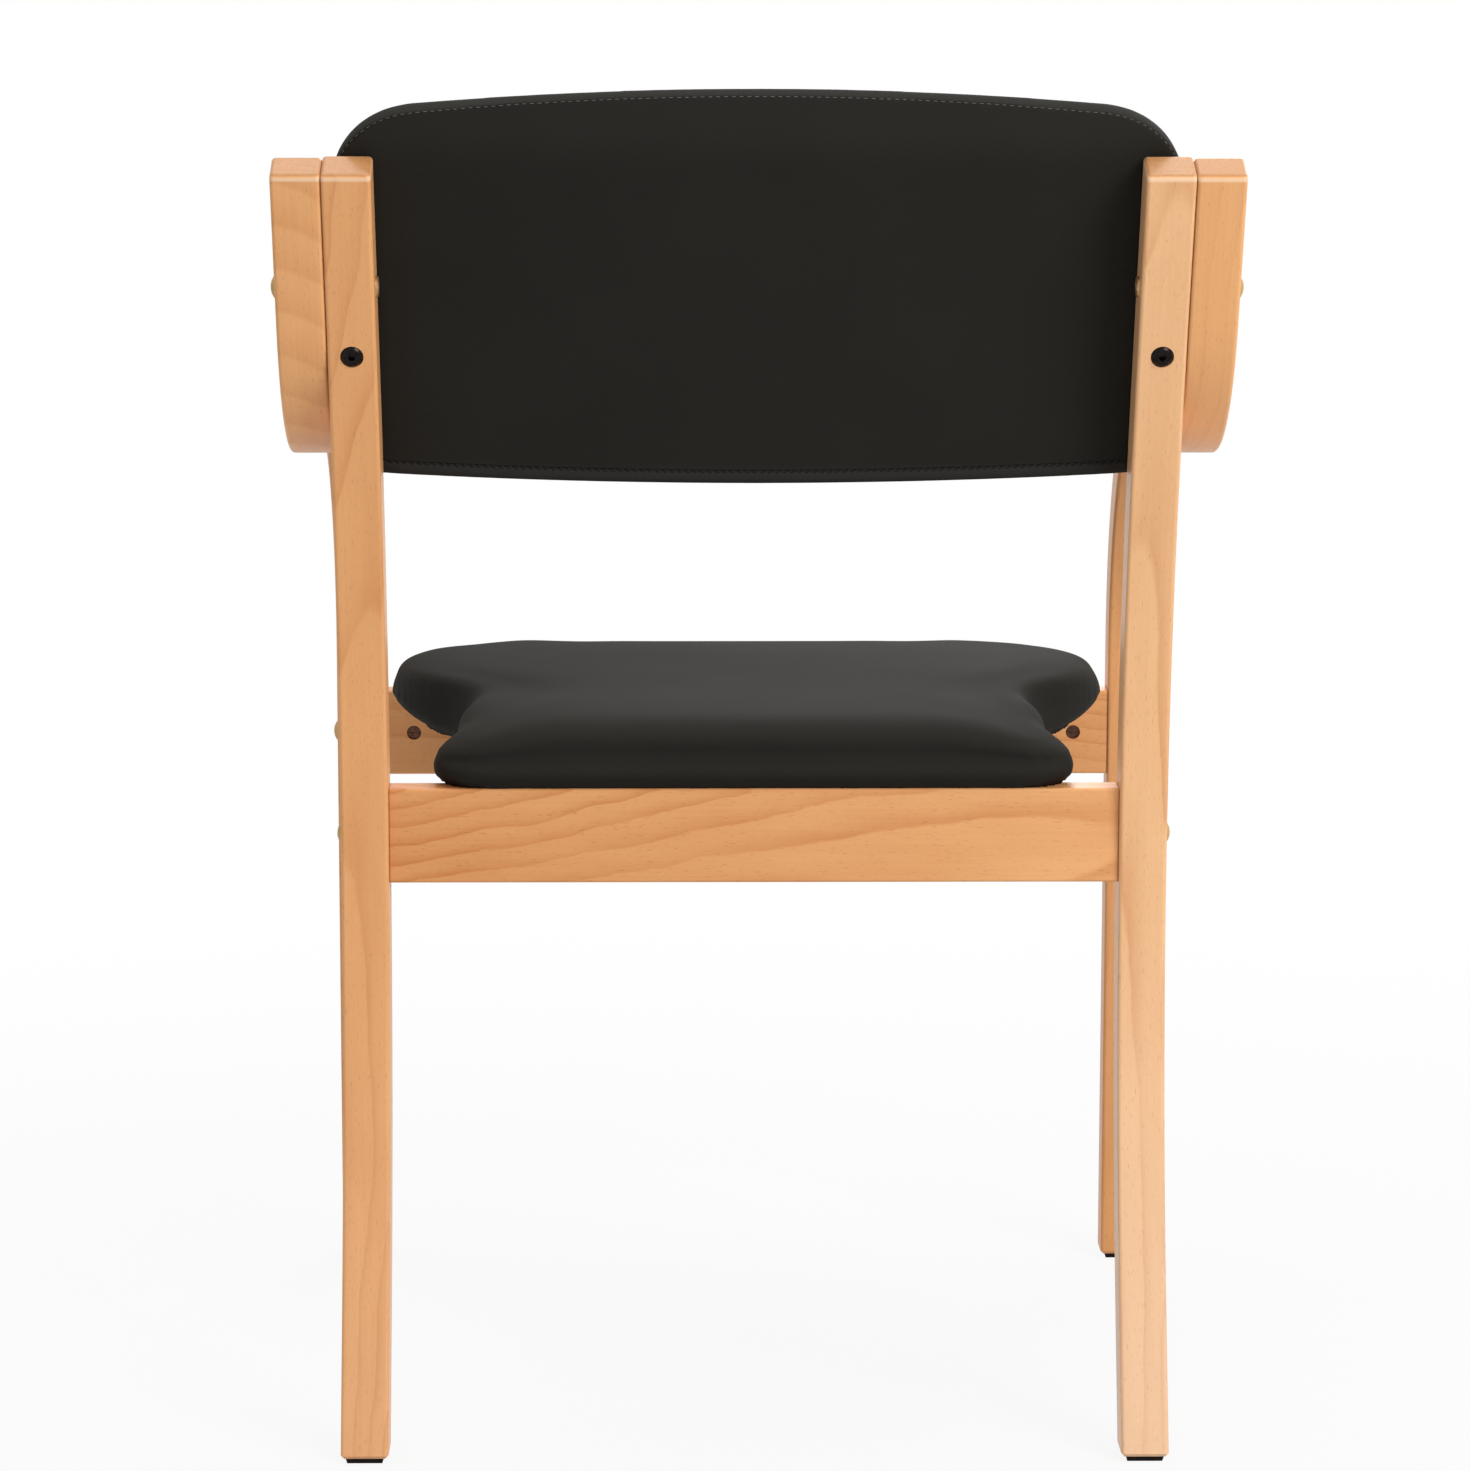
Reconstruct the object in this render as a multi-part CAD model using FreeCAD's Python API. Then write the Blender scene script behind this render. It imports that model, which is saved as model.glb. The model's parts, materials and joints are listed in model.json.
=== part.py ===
import FreeCAD, Part
import collections
import math
import os

# Visitor chair in bent beech with an upholstered seat and back. All sizes are in millimetres.
# The origin is on the floor under the middle of the chair. The sitter faces -Y, with +X at their left.

# Frame as a whole
overall_width = 580.0  # over the arms' outer faces
frame_depth = 580.0  # from the front legs' faces to the rounded tops of the posts
edge_round = 2.5  # on the long edges of posts, legs and arms
foot_chamfer = 2.0  # round the ends of the legs

# Rear posts, each cut to a long bend between two straight runs
post_width = 30.0  # across the chair
post_depth = 30.0  # from back face to front face
post_top_height = 806.0  # at the rear corner of the top
post_top_round = 4.0  # on the rear and front edges of the top
post_bend_radius = 830.0  # of the back face
post_waist_height = 346.0  # where the post stands upright
leg_rake = 18.0  # degrees, of the straight run to the foot
back_rake = 23.0  # degrees, of the straight run to the top

# Loops, each a front leg, an arm and the rear end beside the post, bent from one length
arm_width = 30.0  # across the chair
arm_thickness = 28.0  # through the bend
arm_top_height = 654.0
front_bend_radius = 180.0  # on the inside of the front bend
rear_bend_radius = 140.0  # under the arm, where it turns up beside the post

# Rails between the posts and between the front legs
rail_height = 60.0
rail_thickness = 25.0
rail_top_height = 417.4
rail_round = 1.8
rear_rail_setback = 5.0  # from the posts' back faces
front_rail_setback = 0.5  # from the front legs' back faces

# Seat cushion, measured at its widest line
seat_thickness = 42.5
seat_widest_height = 16.5  # above the seat's underside
seat_crown = 2.6  # rise of the top's middle over its rolled edge
seat_waist_undercut = 7.5  # how far the narrow sides roll in below the widest line
seat_wing_undercut = 37.0  # how far the wide sides roll in below it
seat_end_undercut = 14.0  # how far the rear and front ends roll in below it
seat_side_roll = 28.5
seat_front_roll = 100.0
seat_under_turn = 64.0  # degrees, of the roll below the widest line
seat_top_turn = 78.0  # degrees, of the roll above it
seat_post_gap = 26.0  # between the seat's rear end and the posts
seat_leg_gap = 13.5  # between the seat's front end and the front legs
seat_rear_overhang = 7.0  # behind the rear rail
seat_nose = 13.0  # ahead of the front legs
seat_waist_distance = 128.0  # from the rear edge to where the seat is narrowest
seat_flare_radius = 160.0  # of the two bends of each side's S
seat_rear_corner = 32.0
seat_front_corner = 102.0
seat_board_thickness = 12.0
seat_board_inset = 1.6  # inside the edge of the seat's underside
seat_foam_drop = 7.0  # how far the foam reaches down round the board's edge
seat_hem = 24.0  # how far the cover turns in under the board
liner_thickness = 0.8
cover_thickness = 1.2
soft_clearance = 0.15  # between a cover and what it holds

# Back cushion on a curved board, measured along the posts' lean
back_height = 262.8
back_bottom_height = 616.2  # of the lower edge on the posts' front faces
back_curve_radius = 2000.0  # of the rear panel, across the chair
back_lap = 28.0  # over the front of each post, at its widest
back_thickness = 36.0  # at the middle
back_edge_thickness = 18.0  # along the upper and lower edges
back_top_crown_radius = 1370.0
back_side_crown_radius = 3000.0
back_top_corner = 59.0
back_bottom_corner = 24.0
back_front_roll = 11.0
back_rear_roll = 3.0
back_panel_inset = 4.5  # of the rear panel inside the cushion's outline
back_board_thickness = 10.0
back_board_inset = 3.4
back_post_clearance = 0.2

# Fasteners
bolt_diameter = 6.0
bolt_hole_clearance = 0.25
thread_clearance = 0.1
bolt_head_diameter = 11.0
bolt_head_height = 4.5
counterbore_clearance = 0.5
counterbore_depth = 8.0
hex_key = 4.0
hex_depth = 2.5
cap_diameter = 16.0
cap_rise = 3.2
cap_plug_depth = 2.0
cap_plug_clearance = 0.15
rail_bolt_length = 54.0
barrel_nut_diameter = 10.0
barrel_nut_length = 18.0
barrel_nut_inset = 24.6  # from the rail's end
barrel_nut_clearance = 0.1
barrel_nut_slot = 1.4
arm_bolt_length = 47.0
arm_bolt_drop = 80.0  # below the post's top, along its lean
sleeve_nut_diameter = 8.6
sleeve_nut_length = 20.0
sleeve_flange_diameter = 13.0
sleeve_flange_thickness = 1.8
back_bolt_rise = 98.5  # above the back's lower edge
back_bolt_head_diameter = 13.2
back_bolt_head_height = 3.6
back_bolt_proud = 1.0
back_bolt_length = 38.0
tee_nut_diameter = 7.8
tee_nut_length = 8.0
tee_flange_diameter = 13.0
tee_flange_thickness = 1.4
tee_nut_clearance = 0.15
tee_recess_depth = 2.4
seat_bolt_inset = 76.0  # from the seat's narrow sides
seat_bolt_lead = 3.5  # ahead of the rails' middles
seat_bolt_grip = 28.0  # of the rail over the bolt's head
seat_bolt_length = 39.0

# Dowels
dowel_diameter = 8.0
dowel_length = 36.0
dowel_clearance = 0.1
dowel_end_room = 1.0
rail_dowel_spread = 34.0
arm_dowel_spread = 56.0

# Glides under the feet
glide_thickness = 3.5
glide_inset = 3.0  # of the glide inside the end of the leg
glide_taper = 1.0
nail_diameter = 2.2
nail_length = 20.0
nail_head_diameter = 6.0
nail_head_height = 1.2
nail_clearance = 0.05

# Places that follow from the sizes above
arm_inner_x = overall_width / 2 - arm_width
post_inner_x = arm_inner_x - post_width
leg_front_y = (seat_nose - frame_depth) / 2
leg_back_y = leg_front_y + arm_thickness
lean = math.radians(back_rake)
post_top_reach = post_top_round * (math.sin(lean) + math.cos(lean) - 1)
post_top_y = leg_front_y + frame_depth + post_top_reach
post_run = (post_top_height - post_waist_height) / math.cos(lean) - post_bend_radius * math.tan(lean)
bend_centre_y = post_top_y - post_run * math.sin(lean) + post_bend_radius * math.cos(lean)
rail_middle_height = rail_top_height - rail_height / 2
arm_under_height = arm_top_height - arm_thickness
bolt_hole = bolt_diameter / 2 + bolt_hole_clearance
thread_hole = bolt_diameter / 2 + thread_clearance
counterbore = bolt_head_diameter / 2 + counterbore_clearance
tolerance = 1e-4

Vector = FreeCAD.Vector
across = Vector(1, 0, 0)
up = Vector(0, 0, 1)
forward = Vector(0, -1, 0)
up_lean = Vector(0, math.sin(lean), math.cos(lean))
out_of_back = Vector(0, math.cos(lean), -math.sin(lean))


# Geometry helpers

def polar(centre, radius, degrees):
    """The point of the side view at an angle from +Y towards +Z."""
    angle = math.radians(degrees)
    return centre + Vector(0, radius * math.cos(angle), radius * math.sin(angle))


def side_arc(centre, radius, start, end):
    """An arc of the side view between two angles."""
    points = [polar(centre, radius, degrees) for degrees in (start, (start + end) / 2, end)]
    return Part.Arc(*points).toShape()


def plan_arc(centre, radius, start, end):
    """An arc of a level or flat outline between two angles from +X towards +Y."""
    points = []
    for degrees in (start, (start + end) / 2, end):
        angle = math.radians(degrees)
        points.append(centre + Vector(radius * math.cos(angle), radius * math.sin(angle), 0))
    return Part.Arc(*points).toShape()


def closed_wire(arcs_and_points):
    """Joins arcs and points in order with straight edges, and closes the outline."""
    edges = []
    first = None
    last = None
    for item in arcs_and_points + [None]:
        if item is None:
            start = first
        elif isinstance(item, Vector):
            start = item
        else:
            start = item.valueAt(item.FirstParameter)
        if last is not None and last.distanceToPoint(start) > tolerance:
            edges.append(Part.LineSegment(last, start).toShape())
        if first is None:
            first = start
        last = start
        if item is not None and not isinstance(item, Vector):
            edges.append(item)
            last = item.valueAt(item.LastParameter)
    return Part.Wire(edges)


def cylinder(base, direction, radius, length):
    """A cylinder from a base point along a direction."""
    return Part.makeCylinder(radius, length, base, direction)


def aimed(shape, base, direction):
    """A shape made along +Z, set at a base point along a direction."""
    moved = shape.copy()
    moved.Placement = FreeCAD.Placement(base, FreeCAD.Rotation(up, direction))
    return moved


def mirrored(shape):
    """The same shape at the other side of the chair."""
    return shape.mirror(Vector(0, 0, 0), across)


def both_sides(shape):
    """A shape and its mirror image as two separate solids."""
    return Part.makeCompound([shape, mirrored(shape)])


def turned(points):
    """A solid turned about +Z from the points (radius, height) of its half section."""
    outline = Part.makePolygon([Vector(r, 0, z) for r, z in points] + [Vector(points[0][0], 0, points[0][1])])
    return Part.Face(outline).revolve(Vector(0, 0, 0), up, 360)


def lies_across_at(edge, x):
    """Whether an edge lies in the upright plane at x."""
    box = edge.BoundBox
    return abs(box.XMin - x) < tolerance and abs(box.XMax - x) < tolerance


def is_at_one_of(edge, points):
    """Whether an edge has its middle at one of the points."""
    return min(edge.CenterOfMass.distanceToPoint(point) for point in points) < tolerance


# Places on the posts

def post_back_y(height):
    """How far back the post's back face is at a height."""
    centre = Vector(0, bend_centre_y, post_waist_height)
    high = polar(centre, post_bend_radius, 180 - back_rake)
    low = polar(centre, post_bend_radius, 180 + leg_rake)
    if height > high.z:
        return high.y + (height - high.z) * math.tan(lean)
    if height < low.z:
        return low.y + (low.z - height) * math.tan(math.radians(leg_rake))
    return bend_centre_y - math.sqrt(post_bend_radius ** 2 - (height - post_waist_height) ** 2)


post_top = Vector(0, post_top_y, post_top_height)
arm_bolt_point = post_top - up_lean * arm_bolt_drop - out_of_back * (arm_thickness / 2)
rear_rail_back_y = post_back_y(rail_middle_height) - rear_rail_setback
front_rail_back_y = leg_back_y - front_rail_setback
rear_bolt_point = Vector(0, rear_rail_back_y - rail_thickness / 2, rail_middle_height)
front_bolt_point = Vector(0, front_rail_back_y - rail_thickness / 2, rail_middle_height)
back_bolt_x = post_inner_x + post_width / 2
front_face_top = post_top - out_of_back * post_depth
back_corner = front_face_top - up_lean * ((front_face_top.z - back_bottom_height) / math.cos(lean))
back_placement = FreeCAD.Placement(back_corner, FreeCAD.Rotation(across, 90 - back_rake))
back_axis_height = math.sqrt(back_curve_radius ** 2 - (post_inner_x + edge_round) ** 2) + back_post_clearance


# Wooden frame

def rounded_member(outline, x_from, width, top_edges_at):
    """A bent member: its side outline drawn out across the chair, with rounded edges and a chamfered foot."""
    solid = Part.Face(outline).extrude(across * width)
    solid.translate(across * x_from)
    tops = [e for e in solid.Edges if is_at_one_of(e, top_edges_at)]
    solid = solid.makeFillet(post_top_round, tops)
    sides = [e for e in solid.Edges if lies_across_at(e, x_from) or lies_across_at(e, x_from + width)]
    long_edges = [e for e in sides if e.BoundBox.ZMax > glide_thickness + tolerance]
    solid = solid.makeFillet(edge_round, long_edges)
    foot = min(solid.Faces, key=lambda face: face.CenterOfMass.z)
    return solid.makeChamfer(foot_chamfer, foot.Edges)


def drilled(solid, holes):
    """A solid with its holes cut."""
    return solid.cut(Part.makeCompound(holes)) if holes else solid


def dowel_hole(point, direction):
    """A hole for half a dowel, from a joint face into the wood."""
    radius = dowel_diameter / 2 + dowel_clearance
    return cylinder(point, direction, radius, dowel_length / 2 + dowel_end_room)


def arm_dowel_points():
    """The dowels between arm and post, above and below the arm bolt, on the joint face."""
    middle = arm_bolt_point + across * arm_inner_x
    return [middle + up_lean * (side * arm_dowel_spread / 2) for side in (-1, 1)]


def rail_dowel_points(bolt_point, x):
    """The dowels at a rail's end, above and below its bolt."""
    return [bolt_point + across * x + up * (side * rail_dowel_spread / 2) for side in (-1, 1)]


def capped_bolt_holes(point, outer_x, depth):
    """The hole of a bolt that goes in from the outer face, with the room for its head and cap."""
    outside = point + across * outer_x
    shank = cylinder(outside, -across, bolt_hole, depth)
    return [shank, cylinder(outside, -across, counterbore, counterbore_depth)]


def nail_hole(point):
    """The hole of a glide's nail in the end of a leg."""
    return cylinder(point + up * glide_thickness, up, nail_diameter / 2 + nail_clearance, nail_length)


def rear_foot_point():
    """The middle of the post's end on the floor."""
    end_depth = post_depth / math.cos(math.radians(leg_rake))
    return Vector(post_inner_x + post_width / 2, post_back_y(glide_thickness) - end_depth / 2, 0)


def front_foot_point():
    """The middle of the front leg's end on the floor."""
    return Vector(arm_inner_x + arm_width / 2, leg_front_y + arm_thickness / 2, 0)


def rear_post():
    """The left rear post."""
    centre = Vector(0, bend_centre_y, post_waist_height)
    back_bend = side_arc(centre, post_bend_radius, 180 + leg_rake, 180 - back_rake)
    front_bend = side_arc(centre, post_bend_radius + post_depth, 180 - back_rake, 180 + leg_rake)
    foot_back = Vector(0, post_back_y(glide_thickness), glide_thickness)
    foot_front = foot_back + forward * (post_depth / math.cos(math.radians(leg_rake)))
    outline = closed_wire([foot_back, back_bend, post_top, front_face_top, front_bend, foot_front])
    middle = across * (post_inner_x + post_width / 2)
    post = rounded_member(outline, post_inner_x, post_width, [post_top + middle, front_face_top + middle])

    holes = capped_bolt_holes(rear_bolt_point, arm_inner_x, post_width)
    holes += [dowel_hole(p, across) for p in rail_dowel_points(rear_bolt_point, post_inner_x)]
    holes += [dowel_hole(p, -across) for p in arm_dowel_points()]
    inside = arm_bolt_point + across * post_inner_x
    holes.append(cylinder(inside, across, bolt_hole, post_width))
    holes.append(cylinder(inside, across, sleeve_nut_diameter / 2 + thread_clearance, sleeve_nut_length))
    bolt_base = back_bolt_seat()
    holes.append(cylinder(bolt_base, -out_of_back, bolt_hole, post_depth))
    head_room = back_bolt_head_diameter / 2 + counterbore_clearance
    holes.append(cylinder(bolt_base, out_of_back, head_room, back_bolt_head_height))
    holes.append(nail_hole(rear_foot_point()))
    return drilled(post, holes)


def arm_loop():
    """The left front leg and arm in one bent length, with its rear end beside the post."""
    front_centre = Vector(0, leg_back_y + front_bend_radius, arm_under_height - front_bend_radius)
    rear_centre_z = arm_under_height + rear_bend_radius
    rear_line_y = post_top_y - (post_top_height - rear_centre_z) * math.tan(lean)
    rear_centre = Vector(0, rear_line_y - rear_bend_radius / math.cos(lean), rear_centre_z)
    outer_front = side_arc(front_centre, front_bend_radius + arm_thickness, 180, 90)
    inner_front = side_arc(front_centre, front_bend_radius, 90, 180)
    upper_rear = side_arc(rear_centre, rear_bend_radius - arm_thickness, -90, -back_rake)
    lower_rear = side_arc(rear_centre, rear_bend_radius, -back_rake, -90)
    inner_top = post_top - out_of_back * arm_thickness
    foot_front = Vector(0, leg_front_y, glide_thickness)
    foot_back = Vector(0, leg_back_y, glide_thickness)
    upper = [foot_front, outer_front, upper_rear, inner_top]
    lower = [post_top, lower_rear, inner_front, foot_back]
    middle = across * (arm_inner_x + arm_width / 2)
    outline = closed_wire(upper + lower)
    loop = rounded_member(outline, arm_inner_x, arm_width, [post_top + middle, inner_top + middle])

    outer_x = overall_width / 2
    holes = capped_bolt_holes(arm_bolt_point, outer_x, arm_width)
    holes += capped_bolt_holes(front_bolt_point, outer_x, arm_width)
    holes += [dowel_hole(p, across) for p in arm_dowel_points()]
    holes += [dowel_hole(p, across) for p in rail_dowel_points(front_bolt_point, arm_inner_x)]
    holes.append(nail_hole(front_foot_point()))
    return drilled(loop, holes)


def rail(back_y, half_length, bolt_point, nut_face_side):
    """A rail with the holes of its bolts, dowels, seat bolts and barrel nuts, which go in from one face."""
    corner = Vector(-half_length, back_y - rail_thickness, rail_top_height - rail_height)
    block = Part.makeBox(2 * half_length, rail_thickness, rail_height, corner)
    long_edges = [e for e in block.Edges if e.BoundBox.XLength > half_length]
    block = block.makeFillet(rail_round, long_edges)
    holes = []
    nut_radius = barrel_nut_diameter / 2 + barrel_nut_clearance
    nut_depth = (rail_thickness + barrel_nut_length) / 2
    for side in (-1, 1):
        end = bolt_point + across * (side * half_length)
        holes.append(cylinder(end, across * -side, bolt_hole, rail_bolt_length))
        holes += [dowel_hole(p, across * -side) for p in rail_dowel_points(bolt_point, side * half_length)]
        mouth = end - across * (side * barrel_nut_inset) - forward * (nut_face_side * rail_thickness / 2)
        holes.append(cylinder(mouth, forward * nut_face_side, nut_radius, nut_depth))
        under = seat_bolt_point(bolt_point, side) - up * rail_height
        holes.append(cylinder(under, up, bolt_hole, rail_height))
        holes.append(cylinder(under, up, counterbore, rail_height - seat_bolt_grip))
    return drilled(block, holes)


def dowel():
    """A fluted dowel's plain body with chamfered ends, along +Z about its middle."""
    radius = dowel_diameter / 2
    half = dowel_length / 2
    nose = dowel_clearance * 10
    return turned([(0, -half), (radius - nose, -half), (radius, nose - half), (radius, half - nose),
                   (radius - nose, half), (0, half)])


def rail_dowels(bolt_point, half_length):
    """The dowels at both ends of a rail."""
    dowels = [aimed(dowel(), p, across) for p in rail_dowel_points(bolt_point, half_length)]
    return Part.makeCompound(dowels + [mirrored(d) for d in dowels])


# Bolts, nuts and caps

def socket_bolt(head_radius, head_height, length, head_edge):
    """A bolt along +Z from the seat of its head, with the head below and a hexagon socket in it."""
    shank_radius = bolt_diameter / 2
    bolt = turned([(0, -head_height), (head_radius - head_edge, -head_height),
                   (head_radius, head_edge - head_height), (head_radius, 0),
                   (shank_radius, 0), (shank_radius, length), (0, length)])
    corners = []
    for turn in range(7):
        angle = math.radians(60 * turn)
        corner = hex_key / 2 / math.cos(math.radians(30))
        corners.append(Vector(corner * math.cos(angle), corner * math.sin(angle), -head_height))
    socket = Part.Face(Part.makePolygon(corners)).extrude(up * hex_depth)
    return bolt.cut(socket)


def capped_bolt(point, outer_x, length):
    """A bolt that goes in from the outer face, with its head at the bottom of its counterbore."""
    bolt = socket_bolt(bolt_head_diameter / 2, bolt_head_height, length, bolt_head_height / 8)
    return aimed(bolt, point + across * (outer_x - counterbore_depth), -across)


def cap(point, outer_x):
    """A dome cap over a bolt's counterbore, with a plug that goes into it."""
    radius = cap_diameter / 2
    sphere = (radius ** 2 + cap_rise ** 2) / (2 * cap_rise)
    rim = math.degrees(math.asin(radius / sphere))
    plug = counterbore - cap_plug_clearance
    half_way = math.radians(rim / 2)
    dome_middle = Vector(sphere * math.sin(half_way), 0, sphere * math.cos(half_way) - sphere + cap_rise)
    dome = Part.Arc(Vector(0, 0, cap_rise), dome_middle, Vector(radius, 0, 0)).toShape()
    plug_end = Vector(plug, 0, -cap_plug_depth)
    section = closed_wire([dome, Vector(plug, 0, 0), plug_end, Vector(0, 0, -cap_plug_depth)])
    solid = Part.Face(section).revolve(Vector(0, 0, 0), up, 360)
    return aimed(solid, point + across * outer_x, across)


def barrel_nut(bolt_point, half_length, nut_face_side):
    """A slotted barrel nut across the rail, on the line of the rail's bolt."""
    half = barrel_nut_length / 2
    nut = cylinder(Vector(0, 0, -half), up, barrel_nut_diameter / 2, barrel_nut_length)
    slot = Part.makeBox(barrel_nut_diameter, barrel_nut_slot, barrel_nut_slot)
    slot.translate(Vector(-barrel_nut_diameter / 2, -barrel_nut_slot / 2, -half))
    place = bolt_point + across * (half_length - barrel_nut_inset)
    nut = aimed(nut.cut(slot), place, forward * nut_face_side)
    return nut.cut(cylinder(bolt_point + across * half_length, -across, thread_hole, rail_bolt_length))


def sleeve_nut():
    """The flanged sleeve nut on the post's inner face, which takes the arm bolt."""
    radius = sleeve_nut_diameter / 2
    flange = sleeve_flange_diameter / 2
    edge = sleeve_flange_thickness / 3
    nut = turned([(thread_hole, -sleeve_flange_thickness), (flange - edge, -sleeve_flange_thickness),
                  (flange, edge - sleeve_flange_thickness), (flange, 0), (radius, 0),
                  (radius, sleeve_nut_length), (thread_hole, sleeve_nut_length)])
    return aimed(nut, arm_bolt_point + across * post_inner_x, across)


def tee_nut():
    """A tee nut along +Z, with its barrel up and its flange below."""
    radius = tee_nut_diameter / 2
    flange = tee_flange_diameter / 2
    return turned([(thread_hole, -tee_flange_thickness), (flange, -tee_flange_thickness), (flange, 0),
                   (radius, 0), (radius, tee_nut_length), (thread_hole, tee_nut_length)])


def tee_nut_holes(seat_point, direction, board_thickness):
    """The holes of a tee nut whose barrel points along a direction from the seat of its flange."""
    recess = tee_flange_diameter / 2 + counterbore_clearance
    barrel = tee_nut_diameter / 2 + tee_nut_clearance
    return [cylinder(seat_point, -direction, recess, tee_recess_depth + tee_flange_thickness),
            cylinder(seat_point, direction, barrel, board_thickness)]


# Seat

seat_rear_y = rear_rail_back_y + seat_rear_overhang
seat_front_y = leg_front_y - seat_nose
seat_rear_half = post_inner_x - seat_post_gap
seat_front_half = arm_inner_x - seat_leg_gap
Insets = collections.namedtuple("Insets", "waist wing front rear")
seat_undercut = Insets(seat_waist_undercut, seat_wing_undercut, seat_end_undercut, seat_end_undercut)
seat_roll = Insets(seat_side_roll, seat_side_roll, seat_front_roll, seat_side_roll)


def seat_outline(height, insets):
    """The seat's outline at a height: a round rear end, a waist, sides that widen in an S, and a rounded front."""
    z = rail_top_height + height
    rear_half = seat_rear_half - insets.waist
    front_half = seat_front_half - insets.wing
    rear_y = seat_rear_y - insets.rear
    front_y = seat_front_y + insets.front
    rear_corner = seat_rear_corner * rear_half / seat_rear_half
    length_share = (rear_y - front_y) / (seat_rear_y - seat_front_y)
    front_corner = seat_front_corner * length_share
    waist_y = rear_y - seat_waist_distance * length_share
    radius = seat_flare_radius * length_share
    reach = radius + rear_corner
    ahead = rear_y - rear_corner - waist_y
    hollow_x = rear_half - rear_corner + math.sqrt(reach ** 2 - ahead ** 2)
    hollow_turn = math.degrees(math.asin(ahead / reach))
    widening = front_half - hollow_x + radius
    turn = math.degrees(math.acos(1 - widening / 2 / radius))
    wide_y = waist_y - math.sqrt(4 * radius * widening - widening ** 2)
    left = [
        plan_arc(Vector(rear_half - rear_corner, rear_y - rear_corner, z), rear_corner, 90, -hollow_turn),
        plan_arc(Vector(hollow_x, waist_y, z), radius, 180 - hollow_turn, 180 + turn),
        plan_arc(Vector(front_half - radius, wide_y, z), radius, turn, 0),
        plan_arc(Vector(front_half - front_corner, front_y + front_corner, z), front_corner, 0, -90),
    ]
    right = [
        plan_arc(Vector(front_corner - front_half, front_y + front_corner, z), front_corner, -90, -180),
        plan_arc(Vector(radius - front_half, wide_y, z), radius, 180, 180 - turn),
        plan_arc(Vector(-hollow_x, waist_y, z), radius, -turn, hollow_turn),
        plan_arc(Vector(rear_corner - rear_half, rear_y - rear_corner, z), rear_corner, 180 + hollow_turn, 90),
    ]
    return closed_wire(left + right)


def inset_by(insets, more):
    """The same insets, each with the same amount added."""
    return Insets(*(inset + more for inset in insets))


def seat_levels():
    """The rise and insets of the seat's outline in its under roll and in its upper roll."""
    under_turn = math.radians(seat_under_turn)
    top_turn = math.radians(seat_top_turn)
    rim_rise = (seat_thickness - seat_crown - seat_widest_height) / math.sin(top_turn)
    under = []
    for share in (1.0, 0.5, 0.0):
        rise = seat_widest_height * (1 - math.sin(share * under_turn) / math.sin(under_turn))
        draw_in = (1 - math.cos(share * under_turn)) / (1 - math.cos(under_turn))
        under.append((rise, Insets(*(undercut * draw_in for undercut in seat_undercut))))
    upper = []
    for share in (0.0, 0.4, 0.75, 1.0):
        rise = seat_widest_height + rim_rise * math.sin(share * top_turn)
        draw_in = 1 - math.cos(share * top_turn)
        upper.append((rise, Insets(*(roll * draw_in for roll in seat_roll))))
    return under, upper


def seat_crown_wires(rim, rise):
    """The rim of the seat's top and smaller copies of it that the crown rises through."""
    wires = []
    for share in (0.0, 0.45, 1.0):
        wire = rim.scaled(1 - share / 2, rim.BoundBox.Center)
        wire.translate(up * (rise * (1 - (1 - share) ** 2)))
        wires.append(wire)
    return wires


def seat_form(skin):
    """The cushion's crowned form, or the room inside a cover of the given thickness."""
    squeeze = 1 - 2 * skin / seat_thickness
    bands = []
    for levels in seat_levels():
        bands.append([seat_outline(skin + rise * squeeze, inset_by(insets, skin)) for rise, insets in levels])
    bands.append(seat_crown_wires(bands[-1][-1], seat_crown * squeeze))
    lofts = [Part.makeLoft(wires, True, False) for wires in bands]
    return lofts[0].multiFuse(lofts[1:])


def seat_slab(inset, z_from, thickness):
    """A flat piece with the outline of the seat's underside, inside it by an inset."""
    return Part.Face(seat_outline(z_from, inset_by(seat_undercut, inset))).extrude(up * thickness)


def seat_bolt_point(rail_bolt_point, side):
    """Where a seat bolt leaves the top of its rail."""
    x = side * (seat_rear_half - seat_bolt_inset)
    return Vector(x, rail_bolt_point.y - seat_bolt_lead, rail_top_height)


def seat_bolt_points():
    """The four seat bolts, at the tops of the rails."""
    rail_points = (rear_bolt_point, front_bolt_point)
    return [seat_bolt_point(rail_point, side) for rail_point in rail_points for side in (-1, 1)]


seat_board_top = rail_top_height + cover_thickness + seat_board_thickness
seat_tee_seat = seat_board_top - tee_recess_depth


def seat_board():
    """The plywood board with its tee nut holes."""
    holes = []
    for point in seat_bolt_points():
        seat_point = Vector(point.x, point.y, seat_tee_seat)
        holes += tee_nut_holes(seat_point, -up, seat_board_thickness)
    return drilled(seat_slab(seat_board_inset, cover_thickness, seat_board_thickness), holes)


def seat_foam():
    """The foam over the board and round the upper part of its edge, inside the cover."""
    room = seat_form(cover_thickness + soft_clearance)
    board_height = cover_thickness + seat_board_thickness
    below = cylinder(up * rail_top_height, up, frame_depth, board_height - seat_foam_drop)
    return room.cut(seat_slab(seat_board_inset, 0, board_height)).cut(below)


def seat_cover():
    """The vinyl cover over the foam, turned in under the board."""
    cover = seat_form(0).cut(seat_form(cover_thickness))
    opening = seat_slab(seat_hem, -cover_thickness, 3 * cover_thickness)
    below = up * cover_thickness
    holes = [cylinder(point - below, up, bolt_hole, 3 * cover_thickness) for point in seat_bolt_points()]
    return drilled(cover.cut(opening), holes)


def seat_liner():
    """The dust cloth under the board, inside the cover's hem."""
    return seat_slab(seat_hem + soft_clearance, cover_thickness - liner_thickness, liner_thickness)


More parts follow.
